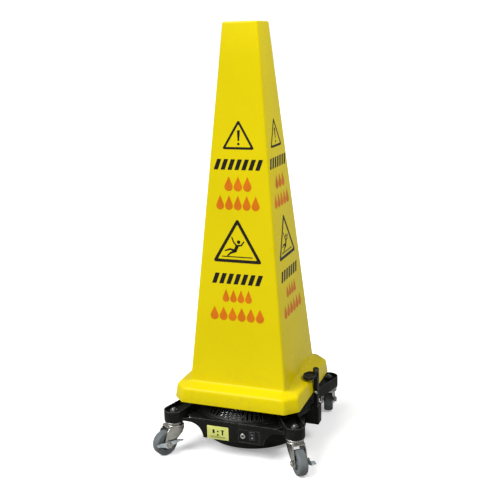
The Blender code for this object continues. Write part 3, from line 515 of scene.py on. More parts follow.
def make_cone(mat):
    """Outer skin from the flange up to the rounded mouth, then back down inside."""
    flange, body = FLANGE_CHAMFER, BODY_CHAMFER
    outer = [
        (BOTTOM_HALF - 0.9, flange, 9, BOTTOM_Z), (BOTTOM_HALF - 0.25, flange, 9, BOTTOM_Z + 0.5),
        (BOTTOM_HALF - 0.12, flange, 9, BOTTOM_Z + 1.4), (147.2, flange, 9, 142),
        (146.0, flange, 9, 151), (145.2, flange, 9, 154.5), (143.7, flange, 9, 157.3),
        (141.2, flange, 9, 159.4), (138.0, flange, 10, 160.6), (134.0, flange - 1, 11, 161.3),
        (126.5, 17.5, 12, 162.5), (120.2, 11.0, 12, 163.8), (116.9, 7.0, 10, 165.0),
        (115.2, 5.0, 9, 166.6), (114.2, 4.0, 8, 169.0), (113.3, body, 7, 173.5)]
    for share in (0.15, 0.3, 0.45, 0.6, 0.75, 0.9):
        z = FOOT_Z + (RIM_Z - FOOT_Z) * share
        outer.append((FOOT_HALF - (z - FOOT_Z) * FACE_SLOPE, body, 7, z))
    rim = RIM_HALF
    outer += [(rim, body, 7, TOP_Z - 4.0), (rim - 0.4, body, 7, TOP_Z - 2.6),
              (rim - 1.3, body, 7, TOP_Z - 1.3), (rim - 2.6, body - 0.3, 6, TOP_Z - 0.4),
              (rim - 4.4, body - 1, 5.5, TOP_Z - 0.05), (rim - 6.4, body - 1.5, 5, TOP_Z - 0.2),
              (rim - 8.0, body - 2, 4.5, TOP_Z - 1.0), (rim - 8.9, body - 2, 4.5, TOP_Z - 2.4),
              (rim - 9.0, body - 2, 4.5, TOP_Z - 4.4), (rim - 8.0, body - 2, 4.5, TOP_Z - 5.4),
              (rim - CONE_WALL - 1.0, body - 1.5, 5, TOP_Z - 6.0)]
    inner = [(rim - CONE_WALL, body - 1.5, 5, TOP_Z - 8.0), (FOOT_HALF - CONE_WALL, body - 1, 7, FOOT_Z),
             (115.0, 5.5, 8, 161.8), (134.0, flange - 2, 9, 158.2), (140.5, flange - 2, 8, 155.0),
             (142.6, flange - 1.2, 8, 150.0), (BOTTOM_HALF - CONE_WALL, flange - 1.2, 8, BOTTOM_Z + 0.6),
             (BOTTOM_HALF - 2.0, flange - 1.0, 8, BOTTOM_Z)]
    bm = bmesh.new()
    add_loft(bm, [cone_section(*section) for section in outer + inner], loop=True)
    obj = finish_mesh("cone_shell", bm, mat, 50)
    piece(obj, "base", "yellow_plastic", "safety_cone")


def face_place(side, u, height, lift):
    """A point on one face of the cone: u across, height up, lift outwards, all in mm."""
    half = FOOT_HALF - (height - FOOT_Z) * FACE_SLOPE
    normal = Vector((0, -1, FACE_SLOPE)).normalized()
    point = Vector((u, -half, height)) + normal * lift
    return Matrix.Rotation(math.pi / 2 * side, 3, "Z") @ point * MM


PRINT_LIFT, PRINT_THICK = 0.12, 0.13


def add_print(bm, outlines, side):
    """Closed flat shapes, with an optional hole each, laid on a face as thin ink."""
    for outer, hole in outlines:
        low, high = PRINT_LIFT, PRINT_LIFT + PRINT_THICK
        rows = []
        for outline in (outer, hole) if hole else (outer,):
            rows.append([[bm.verts.new(face_place(side, u, v, w)) for u, v in outline]
                         for w in (low, high)])
        for bottom, top in rows:
            for i in range(len(top)):
                j = (i + 1) % len(top)
                bm.faces.new((bottom[i], bottom[j], top[j], top[i]))
        if hole:
            for level in (0, 1):
                out, inn = rows[0][level], rows[1][level]
                for i in range(len(out)):
                    j = (i + 1) % len(out)
                    bm.faces.new((out[i], out[j], inn[j], inn[i]))
        else:
            for row in rows[0]:
                bm.faces.new(row)


def triangle(left, right, base, apex, apex_u, stroke, corner):
    """A rounded triangle outline and the matching hole inside it."""
    points = [Vector((left, base)), Vector((right, base)), Vector((apex_u, apex))]
    inset = []
    for i, point in enumerate(points):
        before, after = points[i - 1] - point, points[(i + 1) % 3] - point
        half = before.angle(after) / 2
        towards = (before.normalized() + after.normalized()).normalized()
        inset.append(point + towards * (stroke / math.sin(half)))
    outer = rounded([tuple(p) for p in points], corner, 6)
    hole = rounded([tuple(p) for p in inset], corner * 0.35, 6)
    return outer, hole


def stroke_shape(start, end, width_start, width_end):
    """A limb with round ends: a capsule that may taper."""
    a, b = Vector(start), Vector(end)
    heading = math.degrees(math.atan2(b.y - a.y, b.x - a.x))
    return (arc(a, width_start / 2, heading + 90, heading + 270, 6)
            + arc(b, width_end / 2, heading - 90, heading + 90, 6)), None


def slip_figure():
    """A person falling backwards over a floor line, drawn as tapered limbs."""
    return [
        (arc((2.0, 491.4), 4.0, 0, 348, 29), None),
        stroke_shape((-1.6, 481.5), (-6.2, 471.5), 7.4, 7.8),
        stroke_shape((-3.0, 483.0), (-10.2, 491.5), 3.6, 3.0),
        stroke_shape((-10.2, 491.5), (-13.8, 501.0), 3.0, 2.6),
        stroke_shape((0.0, 483.2), (8.4, 484.2), 3.8, 3.2),
        stroke_shape((8.4, 484.2), (14.2, 492.6), 3.2, 2.6),
        stroke_shape((-7.0, 472.0), (-17.6, 475.2), 5.4, 4.0),
        stroke_shape((-17.6, 475.2), (-29.0, 471.2), 4.0, 3.0),
        stroke_shape((-6.6, 470.6), (-16.0, 467.0), 5.6, 4.2),
        stroke_shape((-16.0, 467.0), (-23.2, 460.6), 4.2, 3.2),
        stroke_shape((-36.0, 458.2), (34.0, 458.2), 2.2, 2.2)]


def slanted_bars(count, left, right, low, high):
    """Caution bars leaning right, evenly spread over a band."""
    pitch, lean = (right - left) / count, (high - low) * 0.35
    width = pitch * 0.6
    return [(rounded([(left + i * pitch, low), (left + i * pitch + width, low),
                      (left + i * pitch + width + lean, high), (left + i * pitch + lean, high)],
                     0.8, 2), None) for i in range(count)]


def water_drops(count, left, right, low, high):
    """A row of upright drops, round below and pointed above."""
    pitch = (right - left) / count
    radius = pitch * 0.44
    return [(arc((left + (i + 0.5) * pitch, low + radius), radius, 158, 382, 22)
             + [(left + (i + 0.5) * pitch, high)], None) for i in range(count)]


def make_legend(black_ink, orange_ink):
    """The same generic caution pictograms on all four faces."""
    big = triangle(-58.5, 57.5, 445.5, 543.5, -1.5, 6.8, 5.0)
    small = triangle(-38.0, 37.0, 692.0, 755.5, -0.5, 4.9, 4.0)
    mark = [(rounded([(-3.4, 733), (3.4, 733), (1.7, 710), (-1.7, 710)], 1.4, 3), None),
            (arc((0, 703.6), 2.8, 0, 345, 23), None)]
    blacks = slanted_bars(7, -57, 55, 648, 671) + slanted_bars(7, -60.5, 58, 397, 420.5)
    oranges = (water_drops(3, -33, 32, 602, 634) + water_drops(5, -52, 51, 561, 593)
               + water_drops(4, -36, 35, 356, 385) + water_drops(6, -65, 64, 314, 345))
    for side, name in enumerate(("front", "right", "back", "left")):
        bm = bmesh.new()
        add_print(bm, [big, small] + mark + slip_figure() + blacks, side)
        piece(finish_mesh("legend_black_" + name, bm, black_ink), "base", "yellow_plastic")
        bm = bmesh.new()
        add_print(bm, oranges, side)
        piece(finish_mesh("legend_orange_" + name, bm, orange_ink), "base", "yellow_plastic")


# ---------------------------------------------------------------- base moulding

CHASSIS_LOW, CHASSIS_HIGH = node_box("base_chassis")
STEM_X = JOINTS["swivel_turn_front_right"]["pos_m"][0] / MM
DECK_Z = CHASSIS_HIGH[2]
RING_R, RING_LOW_Z, RING_EDGE_Z = 147.0, 86.0, 93.0
RING_SHOULDER = (134.0, 105.2)
NECK = (120.0, 121.0)
SHELL = 3.0
CUP_R, CUP_TOP, CUP_BOTTOM, CUP_FLOOR = 22.5, 104.0, 77.5, 94.0
ARM_LENGTH = 110.0
APRON_Y, APRON_TOP, APRON_END_Z, APRON_LOW = -148.0, 90.0, 84.0, CHASSIS_LOW[2]
APRON_END_X, ARCH_X, ARCH_R = 126.0, 107.0, 34.0
SLOTS, SLOT_PITCH, SLOT_WIDTH = 13, 4.3, 5.6
RING_STEPS = 192
STEM_HOLE_R, PANEL_GAP = 5.3, 0.3
DECK_HOLE, DECK_HOLE_R = (0.060, -0.062, 0), 7.0
HOOPS, HOOP_FIRST_R, HOOP_PITCH, HOOP_WIRE_R = 14, 19.6, 7.0, 1.5
GUARD_BARS, GUARD_BAR_END, GUARD_HUB_R = 6, 110, 12


def stadium(sign_x, sign_y, angle, radius):
    """Outline of an arm round its cup; smaller radii lie inside larger ones all round."""
    heading = math.degrees(math.atan2(-sign_y * math.sin(math.radians(angle)),
                                      -sign_x * math.cos(math.radians(angle))))
    stem = (sign_x * STEM_X, sign_y * STEM_X)
    outline = arc(stem, radius, heading + 90, heading + 270, 28)
    reach = Vector((math.cos(math.radians(heading)), math.sin(math.radians(heading))))
    for point in (outline[-1], outline[0]):
        outline.append(tuple(Vector(point) + reach * (ARM_LENGTH - CUP_R + radius)))
    return outline


def make_arm(sign_x, sign_y, angle, mat):
    """Open channel with a rounded rim: outside up, over the rim and down inside."""
    wall = [(-1.4, 0.0), (-0.4, 0.3), (0.0, 1.3)]
    rim = [(0.0, -1.4), (-0.25, -0.6), (-0.8, -0.12), (-1.5, 0.0), (-2.2, -0.12), (-2.75, -0.6),
           (-3.0, -1.4)]
    floor = [(-3.0, 1.2), (-3.3, 0.4), (-4.2, 0.0)]
    levels = [(CUP_R + r, CUP_BOTTOM + z) for r, z in wall]
    levels += [(CUP_R + r, CUP_TOP + z) for r, z in rim]
    levels += [(CUP_R + r, CUP_FLOOR + z) for r, z in floor]
    bm = bmesh.new()
    add_loft(bm, [[(x * MM, y * MM, z * MM) for x, y in stadium(sign_x, sign_y, angle, radius)]
                  for radius, z in levels])
    return finish_mesh("arm", bm, mat)


def ring_profile(inset):
    neck, shoulder = (NECK[0] - inset * 0.9, NECK[1] - inset * 0.9), (
        RING_SHOULDER[0] - inset, RING_SHOULDER[1] - inset * 0.45)
    edge = (RING_R - inset, RING_EDGE_Z - inset * 0.45)
    return [(0.0, DECK_Z - inset), (NECK[0] - 3.0 - inset / 2, DECK_Z - inset), neck, shoulder, edge]


def make_chassis(mat):
    """Deck, grille shoulder, apron, arms and cups, finer than the frame's solid."""
    profile = ring_profile(0.0) + [(RING_R, RING_LOW_Z), (0.0, RING_LOW_Z)]
    profile = rounded(profile, [0, 2, 2.5, 5, 2.2, 0.8, 0], 4, closed=False)
    chassis = tool("chassis_shell", mat, lambda bm: add_lathe(bm, profile, RING_STEPS))
    for corner in CORNERS.values():
        combine(chassis, make_arm(*corner, mat), "UNION")

    bend = 2 * ARCH_X - APRON_END_X + 8.0
    ledge = rounded([(-bend - 5, APRON_Y + 0.6), (bend + 5, APRON_Y + 0.6), (114, -134), (114, -90),
                     (-114, -90), (-114, -134)], [3, 3, 6, 0, 0, 6], 4)
    join(chassis, lambda bm: add_prism(bm, ledge, APRON_TOP - SHELL - 0.4, APRON_TOP - 0.4, 0.6))

    cavity = ring_profile(SHELL) + [(RING_R - SHELL, RING_LOW_Z - 20), (0.0, RING_LOW_Z - 20)]
    cut(chassis, lambda bm: add_lathe(bm, cavity, RING_STEPS))

    right = arc((ARCH_X, APRON_LOW), ARCH_R, 90, 180, 24)
    end = [(APRON_END_X, APRON_END_Z), (APRON_END_X, CUP_BOTTOM + 0.5), (APRON_END_X - 6, APRON_LOW + ARCH_R)]
    top = rounded([(-APRON_END_X, APRON_END_Z), (-bend, APRON_TOP), (bend, APRON_TOP),
                   (APRON_END_X, APRON_END_Z)], 60, 6, closed=False)
    outline = top[1:-1] + end + right + [(-x, z) for x, z in reversed(right)]
    outline += [(-x, z) for x, z in reversed(end)]
    join(chassis, lambda bm: add_prism(bm, outline, APRON_Y, APRON_Y + SHELL, 0.9, face="XZ"))

    def slots(bm):
        for side in range(4):
            for i in range(SLOTS):
                angle = math.radians(90 * side + SLOT_PITCH * (i - (SLOTS - 1) / 2))
                add_box(bm, (RING_SHOULDER[0] - 18, -SLOT_WIDTH / 2, RING_EDGE_Z + 2.5),
                        (RING_R + 4, SLOT_WIDTH / 2, NECK[1] - 3), 0, Matrix.Rotation(angle, 4, "Z"))

    def holes(bm):
        for sign_x, sign_y, _ in CORNERS.values():
            add_lathe(bm, rod(STEM_HOLE_R, CUP_BOTTOM - 5, CUP_FLOOR + 5), 32,
                      Matrix.Translation((sign_x * STEM_X * MM, sign_y * STEM_X * MM, 0)))
        low, high = node_box("control_panel")
        window = rectangle(low[0] - PANEL_GAP, low[2] - PANEL_GAP, high[0] + PANEL_GAP, high[2] + PANEL_GAP)
        add_prism(bm, window, APRON_Y - 5, APRON_Y + 8, 0, face="XZ")
        add_lathe(bm, rod(DECK_HOLE_R, DECK_Z - 10, DECK_Z + 5), 32, Matrix.Translation(DECK_HOLE))

    cut(chassis, slots)
    cut(chassis, holes)
    smooth_again(chassis, mat, 30)
    piece(chassis, "base", "black_plastic", "base_chassis")


def make_shroud(mat):
    low, high = node_box("fan_shroud")
    top, foot = high[2], low[2]
    lip = high[0] - 0.1
    profile = rounded([(lip, top), (lip, top - 2.5), (128, top - 2.5), (126, top - 5),
                       (126, foot + 35), (124.5, foot + 18), (122, foot + 7), (118, foot), (113, foot),
                       (113, foot + 4.5), (118, foot + 18), (122, foot + 35), (122, top)],
                      [0.6, 0.6, 1, 1.5, 20, 12, 8, 3, 0.5, 1, 10, 10, 0.5], 4)
    bm = bmesh.new()
    add_lathe(bm, profile, 128)
    piece(finish_mesh("shroud_shell", bm, mat, 30), "base", "black_plastic", "fan_shroud")


def make_guard(mat):
    """Round wire hoops on flat bars across the outlet."""
    low, high = node_box("outlet_guard")
    middle = (low[2] + high[2]) / 2
    bm = bmesh.new()
    for i in range(HOOPS):
        add_lathe(bm, arc((HOOP_FIRST_R + HOOP_PITCH * i, middle), HOOP_WIRE_R, 0, 330, 11), 96)
    for turn in turns(GUARD_BARS):
        add_box(bm, (4, -1.4, middle - 1.2), (GUARD_BAR_END, 1.4, middle + 1.0), 0.4, turn)
    add_lathe(bm, rounded(rod(GUARD_HUB_R, low[2], high[2]), [0, 1, 1, 0], 3, closed=False), 48)
    piece(finish_mesh("guard_wires", bm, mat), "base", "black_plastic", "outlet_guard")


# ---------------------------------------------------------------- control panel

def to_front(x, y, z):
    """Local Z of a turned piece points out of the apron, towards -Y."""
    return Matrix.Translation((x * MM, y * MM, z * MM)) @ Matrix.Rotation(math.pi / 2, 4, "X")


def make_panel(black, gloss, steel, ink_white):
    low, high = node_box("control_panel")
    front = low[1]
    jack_low, jack_high = node_box("charge_jack")
    jack_x, jack_z = (jack_low[0] + jack_high[0]) / 2, (jack_low[2] + jack_high[2]) / 2
    switch_low, switch_high = node_box("switch_housing")
    switch_x, switch_z = (switch_low[0] + switch_high[0]) / 2, (switch_low[2] + switch_high[2]) / 2
    half_w, half_h = (switch_high[0] - switch_low[0]) / 2, (switch_high[2] - switch_low[2]) / 2

    def switch_box(inset, start, end):
        """Corners of a box as wide as the housing, less inset on each side."""
        return ((switch_x - half_w + inset, front + start, switch_z - half_h + inset),
                (switch_x + half_w - inset, front + end, switch_z + half_h - inset))

    plate = rounded(rectangle(low[0], low[2], high[0], high[2]), 1.0, 3)
    body = tool("panel_plate", black, lambda bm: add_prism(bm, plate, front, high[1], 0.25, face="XZ"))

    def openings(bm):
        add_lathe(bm, rod(4.8, -8, 8), 40, to_front(jack_x, front, jack_z))
        add_box(bm, *switch_box(1, -5, 8))

    cut(body, openings)
    smooth_again(body, black)
    piece(body, "base", "black_plastic", "control_panel")

    bm = bmesh.new()
    ring = rounded([(0, -10), (3.0, -10), (3.0, 3.0), (5.4, 3.0), (6.0, 2.2), (6.0, 0.3), (4.5, 0.3),
                    (4.5, -16), (0, -16)], [0, 0.3, 0.5, 0.8, 0.6, 0.2, 0.3, 0.4, 0], 3, closed=False)
    add_lathe(bm, ring, 48, to_front(jack_x, front, jack_z))
    piece(finish_mesh("jack_barrel", bm, steel), "base", "steel", "charge_jack")
    bm = bmesh.new()
    pin = rounded([(0, 0.5), (0.9, 0.2), (1.0, -0.6), (1.0, -9.9), (0, -9.9)], 0.2, 2, closed=False)
    add_lathe(bm, pin, 20, to_front(jack_x, front, jack_z))
    piece(finish_mesh("jack_pin", bm, steel), "base", "steel")

    housing = tool("switch_frame", gloss, lambda bm: add_box(bm, *switch_box(0, -2.0, -0.3), 0.6, segments=3))
    join(housing, lambda bm: add_box(bm, *switch_box(1.4, -1, 18)))
    cut(housing, lambda bm: add_box(bm, *switch_box(2.6, -8, 9)))
    smooth_again(housing, gloss)
    piece(housing, "base", "switch_plastic", "switch_housing")

    # The rocker is drawn level, then tipped to its resting side about its pivot.
    half = half_h - 3.4
    outline = rounded([(-3.0, -half), (-1.0, -1.2), (-1.0, 1.2), (-3.0, half), (2.5, half - 0.5),
                       (5.0, 2.5), (5.0, -2.5), (2.5, -half + 0.5)], [0.6, 9, 9, 0.6, 0.3, 2, 2, 0.3], 5)
    turn = Matrix(((0, 0, 1, 0), (1, 0, 0, 0), (0, 1, 0, 0), (0, 0, 0, 1)))
    pivot = Matrix.Translation(JOINTS["power_switch"]["pos_m"]) @ Matrix.Rotation(math.radians(8), 4, "X")
    bm = bmesh.new()
    add_prism(bm, outline, -half_w + 3.0, half_w - 3.0, 0.4, turn)
    piece(finish_mesh("rocker_cap", bm, gloss, matrix=pivot), "power_rocker", "switch_plastic",
          "switch_rocker")
    bm = bmesh.new()
    add_box(bm, (-0.35, -2.34, 3.0), (0.35, -2.04, 5.2), 0.1)
    tilt = Matrix.Rotation(math.radians(-20), 4, "X")
    ring = [(1.35, 0.15), (1.35, -0.15), (0.85, -0.15), (0.85, 0.15)]
    add_lathe(bm, ring, 24, Matrix.Translation((0, -0.0022, -0.0042)) @ tilt @ Matrix.Rotation(
        math.pi / 2, 4, "X"))
    piece(finish_mesh("rocker_marks", bm, ink_white, matrix=pivot), "power_rocker", "switch_plastic")


def make_label(film, black_ink):
    """Sticker plate with plain pictograms for battery, plug and fan instead of wording."""
    low, high = node_box("label_plate")
    outline = rounded(rectangle(low[0], low[2], high[0], high[2]), 1.5, 4)
    bm = bmesh.new()
    add_prism(bm, outline, low[1], high[1], 0.2, face="XZ")
    piece(finish_mesh("label_sticker", bm, film), "base", "label", "label_plate")

    middle_x, middle_z = (low[0] + high[0]) / 2, (low[2] + high[2]) / 2
    levels = low[1] - 0.12, low[1] + 0.05
    bm = bmesh.new()

    def mark(u0, u1, v0, v1, r=0.4):
        points = rectangle(middle_x + u0, middle_z + v0, middle_x + u1, middle_z + v1)
        add_prism(bm, rounded(points, r, 2), *levels, face="XZ")

    mark(-12.5, -7.5, -1.5, 7.0)
    mark(-11.2, -8.8, 7.3, 8.6)
    mark(8.0, 15.0, 5.4, 8.2)
    mark(9.8, 13.2, -4.5, 5.1)
    for u, v in ((0.0, 4.0), (0.0, -4.5)):
        disc = arc((middle_x + u, middle_z + v), 2.2, 0, 345, 23)
        add_prism(bm, disc, *levels, face="XZ")
    for row in (-9.2, -11.6):
        mark(-18.0, 18.0, row, row + 0.7, 0.2)
    piece(finish_mesh("label_marks", bm, black_ink), "base", "label")


# ---------------------------------------------------------------- latch

KNOB_RIBS = 16


def make_latch(black, steel):
    low, high = node_box("latch_bracket")
    block = tool("bracket_shell", black, lambda bm: add_box(bm, low, high, 1.6, segments=3))
    cut(block, lambda bm: add_box(bm, (low[0] - 5, low[1] + SHELL, low[2] - 5),
                                  (high[0] - SHELL, high[1] - SHELL, high[2] - SHELL)))
    rim, lip = high[2] + 6, RING_LOW_Z - SHELL - 0.6
    relief = [(0, rim), (RING_R + 0.6, rim), (RING_R + 0.6, lip), (128.5, lip),
              (128.5, low[2] - 6), (0, low[2] - 6)]
    cut(block, lambda bm: add_lathe(bm, relief, RING_STEPS))
    smooth_again(block, black)
    piece(block, "base", "black_plastic", "latch_bracket")

    low, high = node_box("latch_post")
    pivot_x, pivot_y, _ = JOINTS["latch_turn"]["pos_m"]
    at_pivot = Matrix.Translation((pivot_x, pivot_y, 0))
    bm = bmesh.new()
    add_box(bm, (149.9, -11.9, low[2]), (159.4, 3.9, high[2]), 1.6, segments=4)
    add_box(bm, (low[0], -11.0, low[2]), (high[0], high[1], low[2] + 3.6), 1.0, segments=3)
    piece(finish_mesh("post_bar", bm, black), "base", "black_plastic", "latch_post")

    low, high = node_box("latch_pivot_bolt")
    top = high[2]
    bm = bmesh.new()
    knob = rounded([(0, top), (5.5, top), (7.0, top - 1.4), (7.0, top - 8.3), (6.2, top - 9.3),
                    (3.0, top - 9.3), (3.0, low[2]), (0, low[2])],
                   [0, 1, 1, 0.6, 0.4, 0.2, 0.4, 0], 3, closed=False)
    add_lathe(bm, knob, 48, at_pivot)
    for turn in turns(KNOB_RIBS):
        add_box(bm, (6.3, -0.5, top - 7.6), (6.98, 0.5, top - 1.6), 0.2, at_pivot @ turn)
    piece(finish_mesh("latch_knob", bm, black), "base", "black_plastic", "latch_pivot_bolt")

    low, high = node_box("latch_screw")
    head = rounded([(0, 2.6), (2.5, 2.3), (4.1, 0.9), (4.1, 0.3), (2.0, 0.3), (2.0, -10), (0, -10)],
                   [0, 1.5, 0.4, 0.1, 0.1, 0.4, 0], 3, closed=False)
    place = to_front((low[0] + high[0]) / 2, -12.0, (low[2] + high[2]) / 2)
    screw = tool("latch_screw_head", steel, lambda bm: add_lathe(bm, head, 40, place))
    for x, y in ((2.1, 0.45), (0.45, 2.1)):
        cut(screw, lambda bm: add_box(bm, (-x, -y, 1.3), (x, y, 4), 0, place))
    smooth_again(screw, steel)
    piece(screw, "base", "steel", "latch_screw")

    # Dished oval tongue with an eye round the pivot bolt.
    low, high = node_box("latch_tongue")
    middle = (142.5, -18.0)
    radius_x, radius_y = middle[0] - low[0], middle[1] - low[1]
    foot_z, rim_z = low[2], low[2] + 6.0
    levels = [(0.90, foot_z), (0.97, foot_z + 0.3), (1.0, foot_z + 1.3), (1.0, rim_z - 1.3),
              (0.97, rim_z - 0.3), (0.92, rim_z), (0.87, rim_z - 0.3), (0.82, rim_z - 1.1),
              (0.70, rim_z - 2.0), (0.40, rim_z - 2.4)]
    bm = bmesh.new()
    add_loft(bm, [[((middle[0] + radius_x * share * math.cos(math.tau * i / 64)) * MM,
                    (middle[1] + radius_y * share * math.sin(math.tau * i / 64)) * MM, z * MM)
                   for i in range(64)] for share, z in levels])
    tongue = finish_mesh("tongue_plate", bm, black)
    eye = rounded(rod(6.8, foot_z, high[2]), [0, 1, 1, 0], 3, closed=False)
    join(tongue, lambda bm: add_lathe(bm, eye, 48, at_pivot))
    cut(tongue, lambda bm: add_lathe(bm, rod(3.3, foot_z - 5, high[2] + 5), 32, at_pivot))
    smooth_again(tongue, black)
    piece(tongue, "latch", "black_plastic", "latch_tongue")


# ---------------------------------------------------------------- casters

WHEEL_R = JOINTS["wheel_spin_front_left"]["pos_m"][2] / MM
TREAD_HALF, HUB_R, HUB_HALF = 11.0, 19.5, 11.9
FORK_IN, FORK_OUT = 12.8, 15.3
CROWN_LOW, CROWN_HIGH, RACE_Z = 65.0, 68.5, 71.0
PLATE_Z, PLATE_FOOT_Z = 76.9, 74.0
PIN_R, PIN_HOLE_R, LEVER_IN, LEVER_OUT = 4.0, 4.3, 16.3, 18.3
STEM_R, THREAD_R, THREAD_ROOT_R, THREAD_PITCH, THREADS = 4.9, 4.95, 4.5, 1.25, 9
BALLS, BALL_R, BALL_CIRCLE_R, SPOKES = 20, 1.1, 18.4, 8


def caster_poses(name):
    """Matrices of the swivel's frame on the floor and of the axle, Z along the axle."""
    stem = Vector(JOINTS["swivel_turn_" + name]["pos_m"])
    wheel = JOINTS["wheel_spin_" + name]
    axle, across = Vector(wheel["pos_m"]), Vector(wheel["axis"])
    trail = Vector((axle.x - stem.x, axle.y - stem.y, 0))
    forward = trail.normalized()
    swivel = Matrix((forward, across, (0, 0, 1))).transposed().to_4x4()
    swivel.translation = (stem.x, stem.y, 0)
    wheel_pose = Matrix((forward, Vector((0, 0, -1)), across)).transposed().to_4x4()
    wheel_pose.translation = axle
    return swivel, wheel_pose, trail.length / MM


def make_stem(name, sign_x, sign_y, zinc, dull):
    place = Matrix.Translation((sign_x * STEM_X * MM, sign_y * STEM_X * MM, 0))
    low, high = node_box("caster_stem_" + name)
    bm = bmesh.new()
    thread = []
    for i in range(THREADS):
        z = high[2] - 1.0 - i * THREAD_PITCH
        thread += [(THREAD_R, z), (THREAD_ROOT_R, z - 0.6)]
    join_z = CUP_FLOOR - 0.5
    add_lathe(bm, [(0, high[2]), (4.0, high[2])] + thread + [(STEM_R, join_z), (0, join_z)], 48, place)
    piece(finish_mesh("thread_" + name, bm, dull), "base", "zinc_plate")
    bm = bmesh.new()
    plate = rounded([(STEM_R, PLATE_Z), (21.9, PLATE_Z), (21.9, PLATE_Z - 1.6), (19.0, PLATE_FOOT_Z),
                     (PIN_R, PLATE_FOOT_Z), (PIN_R, CROWN_LOW - 0.3), (7.5, CROWN_LOW - 0.3),
                     (6.0, low[2]), (0, low[2])],
                    [0, 0.7, 0.6, 0.8, 0.3, 0.2, 0.6, 1.5, 0], 3, closed=False)
    add_lathe(bm, [(0, join_z), (STEM_R, join_z)] + plate, 64, place)
    piece(finish_mesh("stem_" + name, bm, zinc), "base", "zinc_plate", "caster_stem_" + name)

    low, high = node_box("stem_nut_" + name)
    nut = tool("nut_" + name, dull, lambda bm: add_prism(bm, hexagon(9.0), low[2], high[2], 0, place))
    cone = [(0, high[2] + 3), (6.7, high[2] + 3), (8.2, high[2] - 0.1), (9.4, high[2] - 1.6),
            (9.4, low[2] + 1.2), (8.2, low[2] - 0.1), (0, low[2] - 0.1)]
    combine(nut, tool("nut_round", dull, lambda bm: add_lathe(bm, cone, 48, place)), "INTERSECT")
    cut(nut, lambda bm: add_lathe(bm, rod(5.25, low[2] - 5, high[2] + 5), 40, place))
    smooth_again(nut, dull)
    piece(nut, "base", "zinc_plate", "stem_nut_" + name)


def make_fork(name, swivel, trail, zinc, steel):
    leg = [(-17, CROWN_HIGH - 1.2), (22, CROWN_HIGH - 1.2), (29, CROWN_LOW - 6), (37.8, WHEEL_R + 7)]
    eye = arc((trail, WHEEL_R), 10.4, 20, -160, 20)
    outline = rounded(leg, [0, 3, 10, 25], 5, closed=False)[:-1] + eye + rounded(
        [eye[-1], (-12, CROWN_LOW - 17), (-17, CROWN_LOW - 6), leg[0]], [0, 16, 6, 0], 5, closed=False)[1:-1]
    fork = tool("fork_leg", zinc, lambda bm: add_prism(bm, outline, FORK_IN, FORK_OUT, 0.7, face="XZ"))
    half = FORK_OUT + 0.5
    crown = rounded(rectangle(-17.9, -half, 23.9, half), 4, 5)
    join(fork, lambda bm: add_prism(bm, crown, CROWN_LOW, CROWN_HIGH, 0.9))
    join(fork, lambda bm: add_prism(bm, outline, -FORK_OUT, -FORK_IN, 0.7, face="XZ"))
    dome = rounded([(0, RACE_Z), (16.5, RACE_Z), (19.8, CROWN_HIGH + 0.4), (19.8, CROWN_LOW + 1),
                    (0, CROWN_LOW + 1)], [0, 1.5, 1.0, 0.3, 0], 4, closed=False)
    join(fork, lambda bm: add_lathe(bm, dome, 64))
    cut(fork, lambda bm: add_lathe(bm, rod(PIN_HOLE_R, CROWN_LOW - 5, RACE_Z + 5), 32))
    fork.name = "fork_shell_" + name
    place_at(fork, swivel)
    smooth_again(fork, zinc)
    piece(fork, "swivel_" + name, "zinc_plate", "fork_" + name)

    # Ball cage ring with the balls that show between the raceways.
    bm = bmesh.new()
    low, high = RACE_Z + 0.3, PLATE_FOOT_Z - 0.3
    cage = rounded([(18.0, high), (19.2, high - 0.8), (19.2, low + 0.8), (18.0, low), (14, low),
                    (14, high)], 0.3, 2)
    add_lathe(bm, cage, 64)
    out = Matrix.Translation((BALL_CIRCLE_R * MM, 0, (low + high) / 2 * MM))
    for turn in turns(BALLS):
        bmesh.ops.create_uvsphere(bm, u_segments=12, v_segments=8, radius=BALL_R * MM, matrix=turn @ out)
    piece(finish_mesh("race_" + name, bm, steel, matrix=swivel), "swivel_" + name, "steel",
          "ball_race_" + name)


